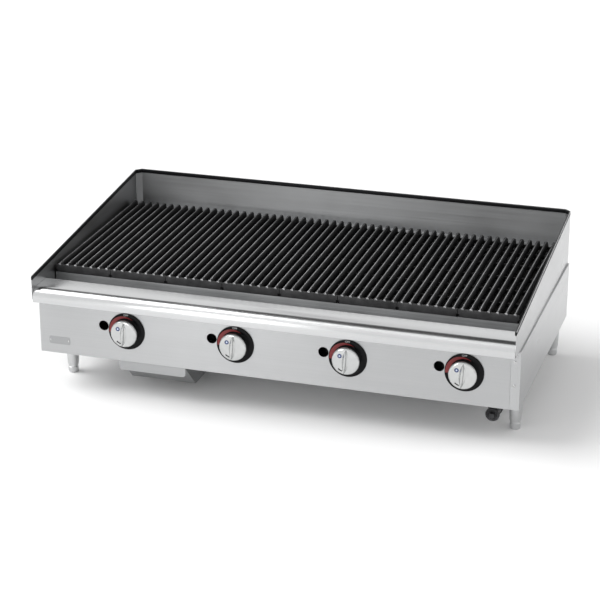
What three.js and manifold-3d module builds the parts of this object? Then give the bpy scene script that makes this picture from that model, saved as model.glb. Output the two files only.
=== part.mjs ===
// Counter-top gas radiant charbroiler, 48 inch class, in millimetres with +Z up.
//
// Every shape is written in the body frame: X runs left to right with 0 on the centre line, Y is 0 on the
// outer face of the control panel and grows towards the rear, and Z is 0 on the counter under the feet.
// The exported group moves that frame so that the origin is the bottom centre of the whole appliance.

import * as THREE from 'three';
import { mergeVertices } from 'three/addons/utils/BufferGeometryUtils.js';
import Module from 'manifold-3d';

const wasm = await Module();
wasm.setup();

// ---- driving dimensions -------------------------------------------------------------------------------

const WIDTH = 1219; // over the side panels
const SHEET = 1.5; // stainless sheet thickness
const GAP = 0.3; // clearance between pieces that touch
const FINE = 0.5; // clearance of moving pieces

const BODY_BOTTOM = 102; // 4 inch legs
const BODY_DEPTH = 635; // control panel face to rear panel face
const SPLASH_REAR = 650; // the back splash stands proud of the rear panel
const SPLASH_FACET = 14; // 45 degree facets at the splash's rear corners
const SPLASH_BOTTOM = 250;
const SPLASH_FRONT_TOP = 318;
const SPLASH_REAR_TOP = 392;
const SPLASH_INSET = 4; // the splashes stand on ledges just inside the sides
const LAP = 12; // height of the upstands that hold the splashes

const NOSE_FRONT = -46;
const NOSE_TOP = 286;
const NOSE_RADIUS = 24;
const NOSE_BACK = 50;

const GRATE_COUNT = 8;
const GRATE_PITCH = 148.2;
const GRATE_LEFT = -601; // the grates stand against the left splash and leave a gap at the right
const GRATE_FRONT = 90;
const GRATE_LENGTH = 513;
const GRATE_HEIGHT = 24;
const GRATE_SEAT = 283.7; // underside of the grate at its front edge
const GRATE_TILT = THREE.MathUtils.degToRad(1);
const RIBS = 7;

const BURNER_COUNT = 4;
const KNOB_PITCH = 284;
const KNOB_FIRST_X = -375;
const KNOB_Z = 183;
const BURNER_PITCH = 302;

const LEG_X = 580;
const LEG_FRONT_Y = 122;
const LEG_REAR_Y = 610;

const DRAWER_X = -311;
const DRAWER_WIDTH = 171;
const DRAWER_BOTTOM = 31;
const DRAWER_REAR = 330;

const PIPE_X = 543;
const PIPE_Y = 44;
const SUPPLY_Z = 74;
const MANIFOLD_Z = 150;
const PIPE_RADIUS = 13.5; // 3/4 inch iron pipe

// ---- dimensions that follow ---------------------------------------------------------------------------

const SIDE_OUTER = WIDTH / 2;
const SIDE_INNER = SIDE_OUTER - SHEET;
const SPLASH_OUTER = SIDE_OUTER - SPLASH_INSET;
const SPLASH_INNER = SPLASH_OUTER - SHEET;
const UPSTAND_OUTER = SPLASH_INNER - GAP;
const UPSTAND_INNER = UPSTAND_OUTER - SHEET;
const INSIDE = UPSTAND_INNER - GAP; // half width of what stands between the upstands
const PAN_HALF = SIDE_INNER - GAP;
const BURNER_LEG_X = BURNER_PITCH / 4; // from the middle of a bay to each leg of its burner
const PANEL_TOP = SPLASH_BOTTOM - GAP;
const BODY_TOP = SPLASH_BOTTOM + LAP;
const SIDE_SPLASH_REAR = SPLASH_REAR - SPLASH_FACET;
const PAN_BOTTOM = BODY_BOTTOM + 2;
const PAN_TOP = PAN_BOTTOM + SHEET;
const FIREBOX_BOTTOM = PAN_TOP + GAP;
const FIREBOX_REAR = GRATE_FRONT + GRATE_LENGTH + 3;
const GRATE_REAR_SEAT = GRATE_SEAT + GRATE_LENGTH * Math.sin(GRATE_TILT);
const CENTRE_Y = (NOSE_FRONT + SPLASH_REAR) / 2;

// ---- materials ----------------------------------------------------------------------------------------

function metal(color, roughness) {
  return new THREE.MeshStandardMaterial({ color, roughness, metalness: 1 });
}

const STAINLESS = metal(0xc4c5c7, 0.32);
const DARK_STAINLESS = metal(0x7c7d7f, 0.35);
const ALUMINISED = metal(0x8e9092, 0.5);
const CAST_IRON = metal(0x1d1d1e, 0.65);
const BLACK_IRON = metal(0x2b2b2d, 0.55);
const CHROME = metal(0xe6e8ea, 0.08);
const BRASS = metal(0xb08d4a, 0.35);
const NICKEL = metal(0x9a9b9d, 0.38);
const BLACK_GLOSS = new THREE.MeshStandardMaterial({ color: 0x0b0b0c, roughness: 0.22, metalness: 0 });

// ---- geometry helpers ---------------------------------------------------------------------------------

const X_AXIS = new THREE.Vector3(1, 0, 0);
const Y_AXIS = new THREE.Vector3(0, 1, 0);
const Z_AXIS = new THREE.Vector3(0, 0, 1);

/** Turns a closed three.js geometry into a solid that can be joined and cut. */
function solid(geometry) {
  const bare = geometry.clone();
  bare.deleteAttribute('normal');
  bare.deleteAttribute('uv');
  const merged = mergeVertices(bare, 1e-4);
  const vertProperties = new Float32Array(merged.attributes.position.array);
  const triVerts = new Uint32Array(merged.index.array);
  return new wasm.Manifold(new wasm.Mesh({ numProp: 3, vertProperties, triVerts }));
}

/** Turns a solid back into a three.js geometry. */
function surface(body) {
  const mesh = body.getMesh();
  const geometry = new THREE.BufferGeometry();
  geometry.setAttribute('position', new THREE.BufferAttribute(new Float32Array(mesh.vertProperties), 3));
  geometry.setIndex(new THREE.BufferAttribute(new Uint32Array(mesh.triVerts), 1));
  geometry.computeVertexNormals();
  return geometry;
}

/** Two levels in rising order. */
function between(a, b) {
  return [Math.min(a, b), Math.max(a, b)];
}

function joined(...geometries) {
  return geometries.map(solid).reduce((sum, next) => sum.add(next));
}

function cut(body, ...geometries) {
  return geometries.map(solid).reduce((rest, tool) => rest.subtract(tool), body);
}

/** A box given by its lowest and highest X, then Y, then Z, so that boxes on one level meet exactly. */
function slab(...spans) {
  const box = new THREE.BoxGeometry();
  const corners = box.attributes.position;
  for (let i = 0; i < corners.count; i += 1) {
    spans.forEach(([low, high], axis) => {
      corners.setComponent(i, axis, corners.getComponent(i, axis) < 0 ? low : high);
    });
  }
  return box;
}

/** A round bar along Y from y0 to y1. */
function rodAlongY(radius, x, z, y0, y1, sides = 16) {
  return new THREE.CylinderGeometry(radius, radius, y1 - y0, sides).translate(x, (y0 + y1) / 2, z);
}

/** A round bar along X from x0 to x1. */
function rodAlongX(radius, y, z, x0, x1, sides = 16) {
  const rod = new THREE.CylinderGeometry(radius, radius, x1 - x0, sides).rotateZ(Math.PI / 2);
  return rod.translate((x0 + x1) / 2, y, z);
}

/** A round bar along Z from z0 to z1. */
function rodAlongZ(radius, x, y, z0, z1, sides = 16) {
  const rod = new THREE.CylinderGeometry(radius, radius, z1 - z0, sides).rotateX(Math.PI / 2);
  return rod.translate(x, y, (z0 + z1) / 2);
}

/** An outline of [y, z] points or a Shape, carried along X from x0 to x1. */
function alongX(outline, x0, x1, curveSegments = 6) {
  const shape = outline instanceof THREE.Shape ? outline : polygon(outline);
  const block = new THREE.ExtrudeGeometry(shape, { depth: x1 - x0, bevelEnabled: false, curveSegments });
  return block.applyMatrix4(new THREE.Matrix4().makeBasis(Y_AXIS, Z_AXIS, X_AXIS)).translate(x0, 0, 0);
}

/** An outline of [x, z] points or a Shape, carried along Y from y0 to y1. */
function alongY(outline, y0, y1, curveSegments = 6) {
  const shape = outline instanceof THREE.Shape ? outline : polygon(outline);
  const block = new THREE.ExtrudeGeometry(shape, { depth: y1 - y0, bevelEnabled: false, curveSegments });
  const back = Y_AXIS.clone().negate();
  return block.applyMatrix4(new THREE.Matrix4().makeBasis(X_AXIS, Z_AXIS, back)).translate(0, y1, 0);
}

function polygon(points) {
  return new THREE.Shape(points.map(([a, b]) => new THREE.Vector2(a, b)));
}

/** A turned piece about the Z axis, from [radius, z] points listed from the bottom up. */
function turned(points, sides = 16) {
  const profile = points.map(([radius, z]) => new THREE.Vector2(radius, z));
  return new THREE.LatheGeometry(profile, sides).rotateX(Math.PI / 2);
}

const model = new THREE.Group();
model.position.y = -CENTRE_Y;

/** Adds one named piece, from a three.js geometry or from a solid. */
function add(name, shape, material) {
  const geometry = shape instanceof THREE.BufferGeometry ? shape : surface(shape);
  const mesh = new THREE.Mesh(geometry, material);
  mesh.name = name;
  model.add(mesh);
  return mesh;
}

function knobX(index) {
  return KNOB_FIRST_X + index * KNOB_PITCH;
}

function bayX(index) {
  return (index - (BURNER_COUNT - 1) / 2) * BURNER_PITCH;
}

// ---- body sheets --------------------------------------------------------------------------------------

const FLANGE_WIDTH = 23; // the strip of the right side panel that wraps onto the front
const RETURN = 18; // folded edges of the control panel
const SHAFT_HOLE = 7;
const SIGHT_HOLE = 13;
const SIGHT_OFFSET = [-61, 8]; // from each knob to its lighting hole
const SCREW_LEVELS = [163, 223];
const HOLE_SIDES = 12;

function controlPanel() {
  const channel = [
    [0, BODY_BOTTOM],
    [RETURN, BODY_BOTTOM],
    [RETURN, BODY_BOTTOM + SHEET],
    [SHEET, BODY_BOTTOM + SHEET],
    [SHEET, PANEL_TOP - SHEET],
    [RETURN, PANEL_TOP - SHEET],
    [RETURN, PANEL_TOP],
    [0, PANEL_TOP],
  ];
  const body = solid(alongX(channel, -SIDE_OUTER, SIDE_OUTER - FLANGE_WIDTH - GAP));
  const sideRelief = slab([-WIDTH, -INSIDE], [SHEET, 2 * RETURN], [0, WIDTH]);
  const holes = [];
  for (let i = 0; i < BURNER_COUNT; i += 1) {
    holes.push(rodAlongY(SHAFT_HOLE, knobX(i), KNOB_Z, -SHEET, 2 * SHEET, HOLE_SIDES));
    const [dx, dz] = SIGHT_OFFSET;
    holes.push(rodAlongY(SIGHT_HOLE, knobX(i) + dx, KNOB_Z + dz, -SHEET, 2 * SHEET));
  }
  return cut(body, sideRelief, ...holes);
}

/** A side: its wall, a flange round the front, and a ledge along its top with an upstand for the splash. */
function sidePanel(side) {
  const start = side < 0 ? SHEET + GAP : 0;
  const bend = start + SHEET;
  const rear = BODY_DEPTH - SHEET - GAP;
  const fold = PANEL_TOP - SHEET;
  const below = side < 0 ? BODY_BOTTOM + SHEET + GAP : BODY_BOTTOM;
  const above = side < 0 ? fold - GAP : PANEL_TOP;
  const wallX = between(side * SIDE_INNER, side * SIDE_OUTER);
  const flangeX = between(side * (SIDE_OUTER - FLANGE_WIDTH), side * SIDE_OUTER);
  const ledgeX = between(side * UPSTAND_INNER, side * SIDE_OUTER);
  const upstandX = between(side * UPSTAND_INNER, side * UPSTAND_OUTER);
  return joined(
    slab(wallX, [bend, rear], [BODY_BOTTOM, fold]),
    slab(flangeX, [start, bend], [below, above]),
    slab(ledgeX, [bend, rear], [fold, PANEL_TOP]),
    slab(upstandX, [RETURN + GAP, rear], [PANEL_TOP, BODY_TOP]),
  );
}

function rearPanel() {
  const thickness = [BODY_DEPTH - SHEET, BODY_DEPTH];
  return joined(
    slab([-SIDE_OUTER, SIDE_OUTER], thickness, [BODY_BOTTOM, PANEL_TOP]),
    slab([-INSIDE, INSIDE], thickness, [PANEL_TOP, BODY_TOP]),
  );
}

const GREASE_SLOT_INSET = 14; // the base pan's drain opening lies inside the grease drawer
const GREASE_SLOT_FRONT = 105;
const RISER_CLEARANCE = 3;

function basePan() {
  const sheet = slab([-PAN_HALF, PAN_HALF], [RETURN + GAP, BODY_DEPTH - SHEET - GAP], [PAN_BOTTOM, PAN_TOP]);
  const half = DRAWER_WIDTH / 2 - GREASE_SLOT_INSET;
  const through = [PAN_BOTTOM - SHEET, PAN_TOP + SHEET];
  const drainY = [GREASE_SLOT_FRONT, DRAWER_REAR - GREASE_SLOT_INSET];
  const drain = slab([DRAWER_X - half, DRAWER_X + half], drainY, through);
  const riserHole = rodAlongZ(PIPE_RADIUS + RISER_CLEARANCE, PIPE_X, PIPE_Y, ...through);
  return cut(joined(sheet), drain, riserHole);
}

// ---- splashes and bull nose ---------------------------------------------------------------------------

const HEM_HEIGHT = 9;
const HEM_DEPTH = 3;
const NOSE_CORNER = 14;

function sideSplash(side) {
  const cornerY = NOSE_FRONT + NOSE_CORNER;
  const cornerZ = SPLASH_BOTTOM + NOSE_CORNER;
  const outline = new THREE.Shape();
  outline.moveTo(cornerY, SPLASH_BOTTOM);
  outline.lineTo(SIDE_SPLASH_REAR, SPLASH_BOTTOM);
  outline.lineTo(SIDE_SPLASH_REAR, SPLASH_REAR_TOP);
  outline.lineTo(NOSE_FRONT, SPLASH_FRONT_TOP);
  outline.lineTo(NOSE_FRONT, cornerZ);
  outline.absarc(cornerY, cornerZ, NOSE_CORNER, Math.PI, 1.5 * Math.PI, false);
  const plate = between(side * SPLASH_INNER, side * SPLASH_OUTER);
  const hemX = between(side * (SPLASH_INNER - HEM_DEPTH), side * SPLASH_OUTER);
  const hem = [
    [NOSE_FRONT, SPLASH_FRONT_TOP - HEM_HEIGHT],
    [SIDE_SPLASH_REAR, SPLASH_REAR_TOP - HEM_HEIGHT],
    [SIDE_SPLASH_REAR, SPLASH_REAR_TOP],
    [NOSE_FRONT, SPLASH_FRONT_TOP],
  ];
  return joined(alongX(outline, ...plate), alongX(hem, ...hemX));
}

/** The plan outline of the back splash: a strip of sheet whose ends turn forward at 45 degrees. */
function backSplashPlan() {
  const start = SIDE_SPLASH_REAR + GAP;
  const bend = SPLASH_OUTER - (SPLASH_REAR - start);
  const inset = SHEET * Math.tan(Math.PI / 8);
  const edge = SPLASH_OUTER - SHEET * Math.SQRT2;
  return polygon([
    [-SPLASH_OUTER, start],
    [-edge, start],
    [-bend + inset, SPLASH_REAR - SHEET],
    [bend - inset, SPLASH_REAR - SHEET],
    [edge, start],
    [SPLASH_OUTER, start],
    [bend, SPLASH_REAR],
    [-bend, SPLASH_REAR],
  ]);
}

/** A flat plan outline raised from z0 to z1. */
function raised(plan, z0, z1) {
  return new THREE.ExtrudeGeometry(plan, { depth: z1 - z0, bevelEnabled: false }).translate(0, 0, z0);
}

function backSplash() {
  const plate = raised(backSplashPlan(), SPLASH_BOTTOM, SPLASH_REAR_TOP);
  const half = SPLASH_OUTER - SPLASH_FACET;
  const hemY = [SPLASH_REAR - SHEET - HEM_DEPTH, SPLASH_REAR];
  const hem = slab([-half, half], hemY, [SPLASH_REAR_TOP - HEM_HEIGHT, SPLASH_REAR_TOP]);
  const sill = slab([-half, half], [BODY_DEPTH + GAP, SPLASH_REAR], [SPLASH_BOTTOM, SPLASH_BOTTOM + SHEET]);
  return joined(plate, hem, sill);
}

const NOSE_DROP = 4; // the rear strip of the deck falls away towards the firebox
const NOSE_DROP_START = 34;
const NOSE_HEM = 12;

function bullNose() {
  const arcY = NOSE_FRONT + NOSE_RADIUS;
  const arcZ = NOSE_TOP - NOSE_RADIUS;
  const foot = SPLASH_BOTTOM;
  const back = NOSE_TOP - NOSE_DROP;
  const outline = new THREE.Shape();
  outline.moveTo(RETURN, foot);
  outline.lineTo(RETURN, foot + SHEET);
  outline.lineTo(NOSE_FRONT + SHEET, foot + SHEET);
  outline.lineTo(NOSE_FRONT + SHEET, arcZ);
  outline.absarc(arcY, arcZ, NOSE_RADIUS - SHEET, Math.PI, Math.PI / 2, true);
  outline.lineTo(NOSE_DROP_START, NOSE_TOP - SHEET);
  outline.lineTo(NOSE_BACK - SHEET, back - SHEET);
  outline.lineTo(NOSE_BACK - SHEET, back - NOSE_HEM);
  outline.lineTo(NOSE_BACK, back - NOSE_HEM);
  outline.lineTo(NOSE_BACK, back);
  outline.lineTo(NOSE_DROP_START, NOSE_TOP);
  outline.lineTo(arcY, NOSE_TOP);
  outline.absarc(arcY, arcZ, NOSE_RADIUS, Math.PI / 2, Math.PI, false);
  outline.lineTo(NOSE_FRONT, foot);
  return alongX(outline, -UPSTAND_OUTER, UPSTAND_OUTER);
}

// ---- firebox walls, which carry the grates, the radiants and the burners --------------------------------

const RADIANT_LEVEL = 227;
const RADIANT_LEDGE = 10;
const GRATE_LEDGE = 26;
const SHELF_LEVEL = 262;
const SHELF_GAP = 2; // behind the bull nose
const BURNER_Z = KNOB_Z;
const BURNER_RADIUS = 17;
const BURNER_LEG_HALF = 15;
const DECK_CLEARANCE = 1; // under the rear of the tilted grates

function fireboxFront() {
  const across = [-INSIDE, INSIDE];
  const outer = GRATE_FRONT;
  const inner = outer + SHEET;
  const wall = slab(across, [outer, inner], [FIREBOX_BOTTOM, GRATE_SEAT - GAP]);
  const grateLedge = slab(across, [outer, inner + GRATE_LEDGE], [GRATE_SEAT - GAP - SHEET, GRATE_SEAT - GAP]);
  const radiantLedge = slab(across, [outer, inner + RADIANT_LEDGE], [RADIANT_LEVEL - SHEET, RADIANT_LEVEL]);
  const shelf = slab(across, [NOSE_BACK + SHELF_GAP, inner], [SHELF_LEVEL - SHEET, SHELF_LEVEL]);
  const foot = slab(across, [outer, inner + RADIANT_LEDGE], [FIREBOX_BOTTOM, FIREBOX_BOTTOM + SHEET]);
  const through = [outer - SHEET, inner + SHEET];
  const holes = [];
  for (let i = 0; i < BURNER_COUNT; i += 1) {
    holes.push(rodAlongY(BURNER_RADIUS + GAP, knobX(i), BURNER_Z, ...through));
  }
  return cut(joined(wall, grateLedge, radiantLedge, shelf, foot), ...holes);
}

/** The rear wall, whose top folds forward as the grates' ledge and back as a deck up to the back splash. */
function fireboxRear() {
  const across = [-INSIDE, INSIDE];
  const bendX = SPLASH_OUTER - SPLASH_FACET - SHEET;
  const inner = FIREBOX_REAR;
  const outer = inner + SHEET;
  const top = GRATE_REAR_SEAT - DECK_CLEARANCE;
  const wall = slab(across, [inner, outer], [FIREBOX_BOTTOM, top]);
  const deck = [-bendX, bendX];
  const grateLedge = slab(deck, [inner - GRATE_LEDGE, SPLASH_REAR - SHEET - GAP], [top - SHEET, top]);
  const radiantLedge = slab(across, [inner - RADIANT_LEDGE, outer], [RADIANT_LEVEL - SHEET, RADIANT_LEVEL]);
  const foot = slab(across, [inner - RADIANT_LEDGE, outer], [FIREBOX_BOTTOM, FIREBOX_BOTTOM + SHEET]);
  const cradle = BURNER_Z - BURNER_LEG_HALF - GAP;
  const burnerLedge = slab(across, [inner - 2 * RADIANT_LEDGE, outer], [cradle - SHEET, cradle]);
  return joined(wall, grateLedge, radiantLedge, burnerLedge, foot);
}

// ---- grates -------------------------------------------------------------------------------------------

const GRATE_WIDTH = GRATE_PITCH - 1;
const REAR_BAR_DROP = 4; // the rear bar lies under the ribs' rounded ends
const RIB_PITCH = GRATE_PITCH / RIBS;
const RIB_BASE = 13;
const RIB_RIDGE = 3.2;
const RIB_DEPTH = 16;
const BAR_THICKNESS = 8;
const TIE_ROWS = 2;
const TIE_INSET = 4;
const RIDGE_LEVEL = GRATE_HEIGHT - 0.5;

/** One cast grate in its own frame: X centred, Y from its front edge, Z from its underside. */
function grate() {
  const half = GRATE_WIDTH / 2;
  const low = GRATE_HEIGHT - RIB_DEPTH;
  const pieces = [
    slab([-half, half], [0, BAR_THICKNESS], [0, GRATE_HEIGHT]),
    slab([-half, half], [GRATE_LENGTH - BAR_THICKNESS, GRATE_LENGTH], [0, GRATE_HEIGHT - REAR_BAR_DROP]),
  ];
  for (let row = 1; row <= TIE_ROWS; row += 1) {
    const y = (row * GRATE_LENGTH) / (TIE_ROWS + 1);
    pieces.push(slab([-half + TIE_INSET, half - TIE_INSET], [y, y + BAR_THICKNESS], [0, low + 1]));
  }
  for (let i = 0; i < RIBS; i += 1) {
    const x = (i - (RIBS - 1) / 2) * RIB_PITCH;
    const section = [
      [x - RIB_BASE / 2, low],
      [x + RIB_BASE / 2, low],
      [x + RIB_RIDGE / 2, RIDGE_LEVEL],
      [x - RIB_RIDGE / 2, RIDGE_LEVEL],
    ];
    pieces.push(alongY(section, BAR_THICKNESS - 1, GRATE_LENGTH - BAR_THICKNESS / 2));
  }
  return joined(...pieces);
}

function addGrates() {
  const shape = surface(grate());
  for (let i = 0; i < GRATE_COUNT; i += 1) {
    const mesh = add(`grate_${i + 1}`, shape, CAST_IRON);
    mesh.position.set(GRATE_LEFT + (i + 0.5) * GRATE_PITCH, GRATE_FRONT, GRATE_SEAT);
    mesh.rotation.x = GRATE_TILT;
  }
}

// ---- radiants and burners -----------------------------------------------------------------------------

const RADIANT_RISE = 34;
const RADIANT_PLATE = 3;
const RADIANT_HALF = 146;

/** A double tent of cast plate that stands over the two legs of one burner. */
function radiant(index) {
  const x = bayX(index);
  const low = RADIANT_LEVEL + GAP;
  const ridge = low + RADIANT_RISE;
  const lower = [
    [-RADIANT_HALF, low],
    [-BURNER_LEG_X, ridge],
    [0, low],
    [BURNER_LEG_X, ridge],
    [RADIANT_HALF, low],
  ];
  const upper = lower.map(([dx, z]) => [dx, z + RADIANT_PLATE]).reverse();
  const outline = [...lower, ...upper].map(([dx, z]) => [x + dx, z]);
  return alongY(outline, GRATE_FRONT + SHEET + GAP, FIREBOX_REAR - GAP);
}

const BURNER_MOUTH_Y = 78;
const BURNER_DUCT = [170, 200];
const BURNER_DUCT_HALF = 96;
const BURNER_DUCT_REACH = 10; // extra length of the duct towards its venturi
const BURNER_WALL = 3;
const BURNER_END_GAP = 6;
const BURNER_OVERLAP = 8; // how far the tubes run into the duct
const BURNER_LEG_SIDES = 12;

/** A venturi tube that feeds a cross duct with two ported legs, one under each ridge of its radiant. */
function burner(index) {
  const x = bayX(index);
  const level = [BURNER_Z - BURNER_LEG_HALF, BURNER_Z + BURNER_LEG_HALF];
  const [ductFront, ductRear] = BURNER_DUCT;
  const pieces = [
    rodAlongY(BURNER_RADIUS, knobX(index), BURNER_Z, BURNER_MOUTH_Y, ductFront + BURNER_OVERLAP),
    slab([x - BURNER_DUCT_HALF, x + BURNER_DUCT_HALF + BURNER_DUCT_REACH], BURNER_DUCT, level),
  ];
  const legY = [ductRear - BURNER_OVERLAP, FIREBOX_REAR - BURNER_END_GAP];
  for (const side of [-1, 1]) {
    const legX = x + side * BURNER_LEG_X;
    pieces.push(rodAlongY(BURNER_LEG_HALF, legX, BURNER_Z, ...legY, BURNER_LEG_SIDES));
  }
  const throat = [BURNER_MOUTH_Y - SHEET, ductFront - BURNER_OVERLAP];
  const bore = rodAlongY(BURNER_RADIUS - BURNER_WALL, knobX(index), BURNER_Z, ...throat, HOLE_SIDES);
  return cut(joined(...pieces), bore);
}

// ---- gas train ----------------------------------------------------------------------------------------

const VALVE_FRONT = 14;
const VALVE_REAR = 60;
const ORIFICE_END = BURNER_MOUTH_Y - 4;
const VALVE_HALF = 14;
const VALVE_BELOW = 15; // body of the valve below and above its stem
const VALVE_ABOVE = 13;
const COLLAR_RADIUS = 10;
const COLLAR_LENGTH = 6;
const ORIFICE_RADIUS = 6;
const ORIFICE_SIDES = 6;
const SHANK_RADIUS = 7;
const SHANK_SIDES = 8;
const OVERLAP = 4; // how far the parts of one casting run into each other
const STEM_RADIUS = 4;
const STEM_SIDES = 12;
const STEM_REAR = VALVE_FRONT + 20;
const STEM_BORE_END = STEM_REAR + 2;
const STEM_BORE = (STEM_RADIUS + FINE) / Math.cos(Math.PI / STEM_SIDES); // clear of the stem's corners
const PIPE_SIDES = 12;
const PIPE_WALL = 3;
const PIPE_BORE_DEPTH = 35;
const PIPE_END_INSET = 5; // from the rear panel's face
const MANIFOLD_OVERHANG = 45; // left of the first valve
const ELBOW_REACH = 26;
const TEE_RADIUS = 17;
const TEE_HALF = 24;
const TEE_BRANCH = TEE_RADIUS + 4;
const TEE_BORE_DEPTH = 14;
const PLUG_RADIUS = 11;
const PLUG_DEPTH = 13;
const PLUG_HEAD_HALF = 6;
const PLUG_HEAD_LENGTH = 8;

/** The pipe that feeds the valves, with an elbow at its right end and a riser down through the base pan. */
function manifold() {
  const run = [knobX(0) - MANIFOLD_OVERHANG, PIPE_X];
  const elbow = [PIPE_X - ELBOW_REACH, PIPE_X + TEE_RADIUS];
  const riser = [SUPPLY_Z + TEE_BRANCH, MANIFOLD_Z];
  return joined(
    rodAlongX(PIPE_RADIUS, PIPE_Y, MANIFOLD_Z, ...run, PIPE_SIDES),
    rodAlongX(TEE_RADIUS, PIPE_Y, MANIFOLD_Z, ...elbow, PIPE_SIDES),
    rodAlongZ(PIPE_RADIUS, PIPE_X, PIPE_Y, ...riser, PIPE_SIDES),
  );
}

function valve(index) {
  const x = knobX(index);
  const blockY = [VALVE_FRONT + COLLAR_LENGTH, VALVE_REAR];
  const blockZ = [KNOB_Z - VALVE_BELOW, KNOB_Z + VALVE_ABOVE];
  const block = slab([x - VALVE_HALF, x + VALVE_HALF], blockY, blockZ);
  const collarY = [VALVE_FRONT, VALVE_FRONT + COLLAR_LENGTH + OVERLAP];
  const collar = rodAlongY(COLLAR_RADIUS, x, KNOB_Z, ...collarY, HOLE_SIDES);
  const orifice = rodAlongY(ORIFICE_RADIUS, x, KNOB_Z, VALVE_REAR - OVERLAP, ORIFICE_END, ORIFICE_SIDES);
  const shankZ = [MANIFOLD_Z + PIPE_RADIUS + GAP, KNOB_Z - VALVE_BELOW + OVERLAP];
  const shank = rodAlongZ(SHANK_RADIUS, x, PIPE_Y, ...shankZ, SHANK_SIDES);
  const bore = rodAlongY(STEM_BORE, x, KNOB_Z, VALVE_FRONT - OVERLAP, STEM_BORE_END, STEM_SIDES);
  return cut(joined(block, collar, orifice, shank), bore);
}

function gasTee() {
  const front = PIPE_Y - TEE_HALF;
  const run = rodAlongY(TEE_RADIUS, PIPE_X, SUPPLY_Z, front, PIPE_Y + TEE_HALF);
  const branch = rodAlongZ(TEE_RADIUS, PIPE_X, PIPE_Y, SUPPLY_Z, SUPPLY_Z + TEE_BRANCH - GAP);
  const boreY = [front - OVERLAP, front + TEE_BORE_DEPTH];
  const frontBore = rodAlongY(PLUG_RADIUS + GAP, PIPE_X, SUPPLY_Z, ...boreY, PIPE_SIDES);
  return cut(joined(run, branch), frontBore);
}

function teePlug() {
  const front = PIPE_Y - TEE_HALF;
  const plug = rodAlongY(PLUG_RADIUS, PIPE_X, SUPPLY_Z, front, front + PLUG_DEPTH, PIPE_SIDES);
  const headX = [PIPE_X - PLUG_HEAD_HALF, PIPE_X + PLUG_HEAD_HALF];
  const headZ = [SUPPLY_Z - PLUG_HEAD_HALF, SUPPLY_Z + PLUG_HEAD_HALF];
  const head = slab(headX, [front - PLUG_HEAD_LENGTH, front + OVERLAP], headZ);
  return joined(plug, head);
}

function supplyPipe() {
  const end = BODY_DEPTH - PIPE_END_INSET;
  const body = solid(rodAlongY(PIPE_RADIUS, PIPE_X, SUPPLY_Z, PIPE_Y + TEE_HALF + GAP, end));
  return cut(body, rodAlongY(PIPE_RADIUS - PIPE_WALL, PIPE_X, SUPPLY_Z, end - PIPE_BORE_DEPTH, BODY_DEPTH));
}

// ---- controls -----------------------------------------------------------------------------------------

const BEZEL_RADIUS = 47.5;
const BEZEL_THICKNESS = 3;
const KNOB_RADIUS = 34.5;
const KNOB_SKIRT = 12;
const KNOB_TAPER = 3;
const KNOB_SIDES = 28;
const KNOB_BAR = [13, 62, 17]; // width, length and height above the skirt
const KNOB_BAR_EASE = [5, 4, 10]; // depth and two insets of the bar's chamfered ends
const KNOB_BACK = -BEZEL_THICKNESS - GAP - 0.7; // a running clearance in front of the bezel
const KNOB_BORE_DEPTH = 16;
const BEZEL_SIDES = 32;

function bezel(index) {
  const x = knobX(index);
  const disc = rodAlongY(BEZEL_RADIUS, x, KNOB_Z, -GAP - BEZEL_THICKNESS, -GAP, BEZEL_SIDES);
  const hole = rodAlongY(SHAFT_HOLE, x, KNOB_Z, -2 * BEZEL_THICKNESS, BEZEL_THICKNESS, HOLE_SIDES);
  return cut(solid(disc), hole);
}

/** The control knob: a domed skirt with a raised finger bar and a blind bore for the valve stem. */
function knob(index) {
  const x = knobX(index);
  const skirt = new THREE.CylinderGeometry(KNOB_RADIUS, KNOB_RADIUS - KNOB_TAPER, KNOB_SKIRT, KNOB_SIDES);
  skirt.translate(x, KNOB_BACK - KNOB_SKIRT / 2, KNOB_Z);
  const [width, length, height] = KNOB_BAR;
  const half = length / 2;
  const [ease, low, high] = KNOB_BAR_EASE;
  const root = KNOB_BACK - KNOB_SKIRT / 2;
  const crest = KNOB_BACK - KNOB_SKIRT - height;
  const side = [
    [root, -half],
    [root, half],
    [crest + ease, half - low],
    [crest, half - high],
    [crest, -half + high],
    [crest + ease, -half + low],
  ];
  const bar = alongX(side, -width / 2, width / 2).translate(x, 0, KNOB_Z);
  const boreY = [KNOB_BACK - KNOB_BORE_DEPTH, KNOB_BACK + SHEET];
  const bore = rodAlongY(STEM_RADIUS + GAP, x, KNOB_Z, ...boreY, STEM_SIDES);
  return cut(joined(skirt, bar), bore);
}

function valveStem(index) {
  const front = KNOB_BACK - KNOB_BORE_DEPTH + 1;
  return rodAlongY(STEM_RADIUS, knobX(index), KNOB_Z, front, STEM_REAR, STEM_SIDES);
}

// ---- legs and feet ------------------------------------------------------------------------------------

const LEG_TOP = PAN_BOTTOM - GAP;
const LEG_FOOT_LEVEL = 20;
const STUD_RADIUS = 5;
const STUD_TOP = 92;
const LEG_RADII = [13.5, 14.8, 17.6]; // at the collar's mouth, the collar's shoulder and the top
const LEG_SHOULDER = 26;
const LEG_BORE_TOP = STUD_TOP + 4;
const FOOT_RADIUS = 13;
const FOOT_EASE = 2.5;

function leg(x, y) {
  const [mouth, shoulder, top] = LEG_RADII;
  const outer = turned([
    [0, LEG_FOOT_LEVEL],
    [mouth, LEG_FOOT_LEVEL],
    [shoulder, LEG_SHOULDER],
    [top, LEG_TOP],
    [0, LEG_TOP],
  ]);
  const bore = rodAlongZ(STUD_RADIUS + GAP, 0, 0, LEG_FOOT_LEVEL - 1, LEG_BORE_TOP, HOLE_SIDES);
  return cut(solid(outer), bore).translate([x, y, 0]);
}

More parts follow.
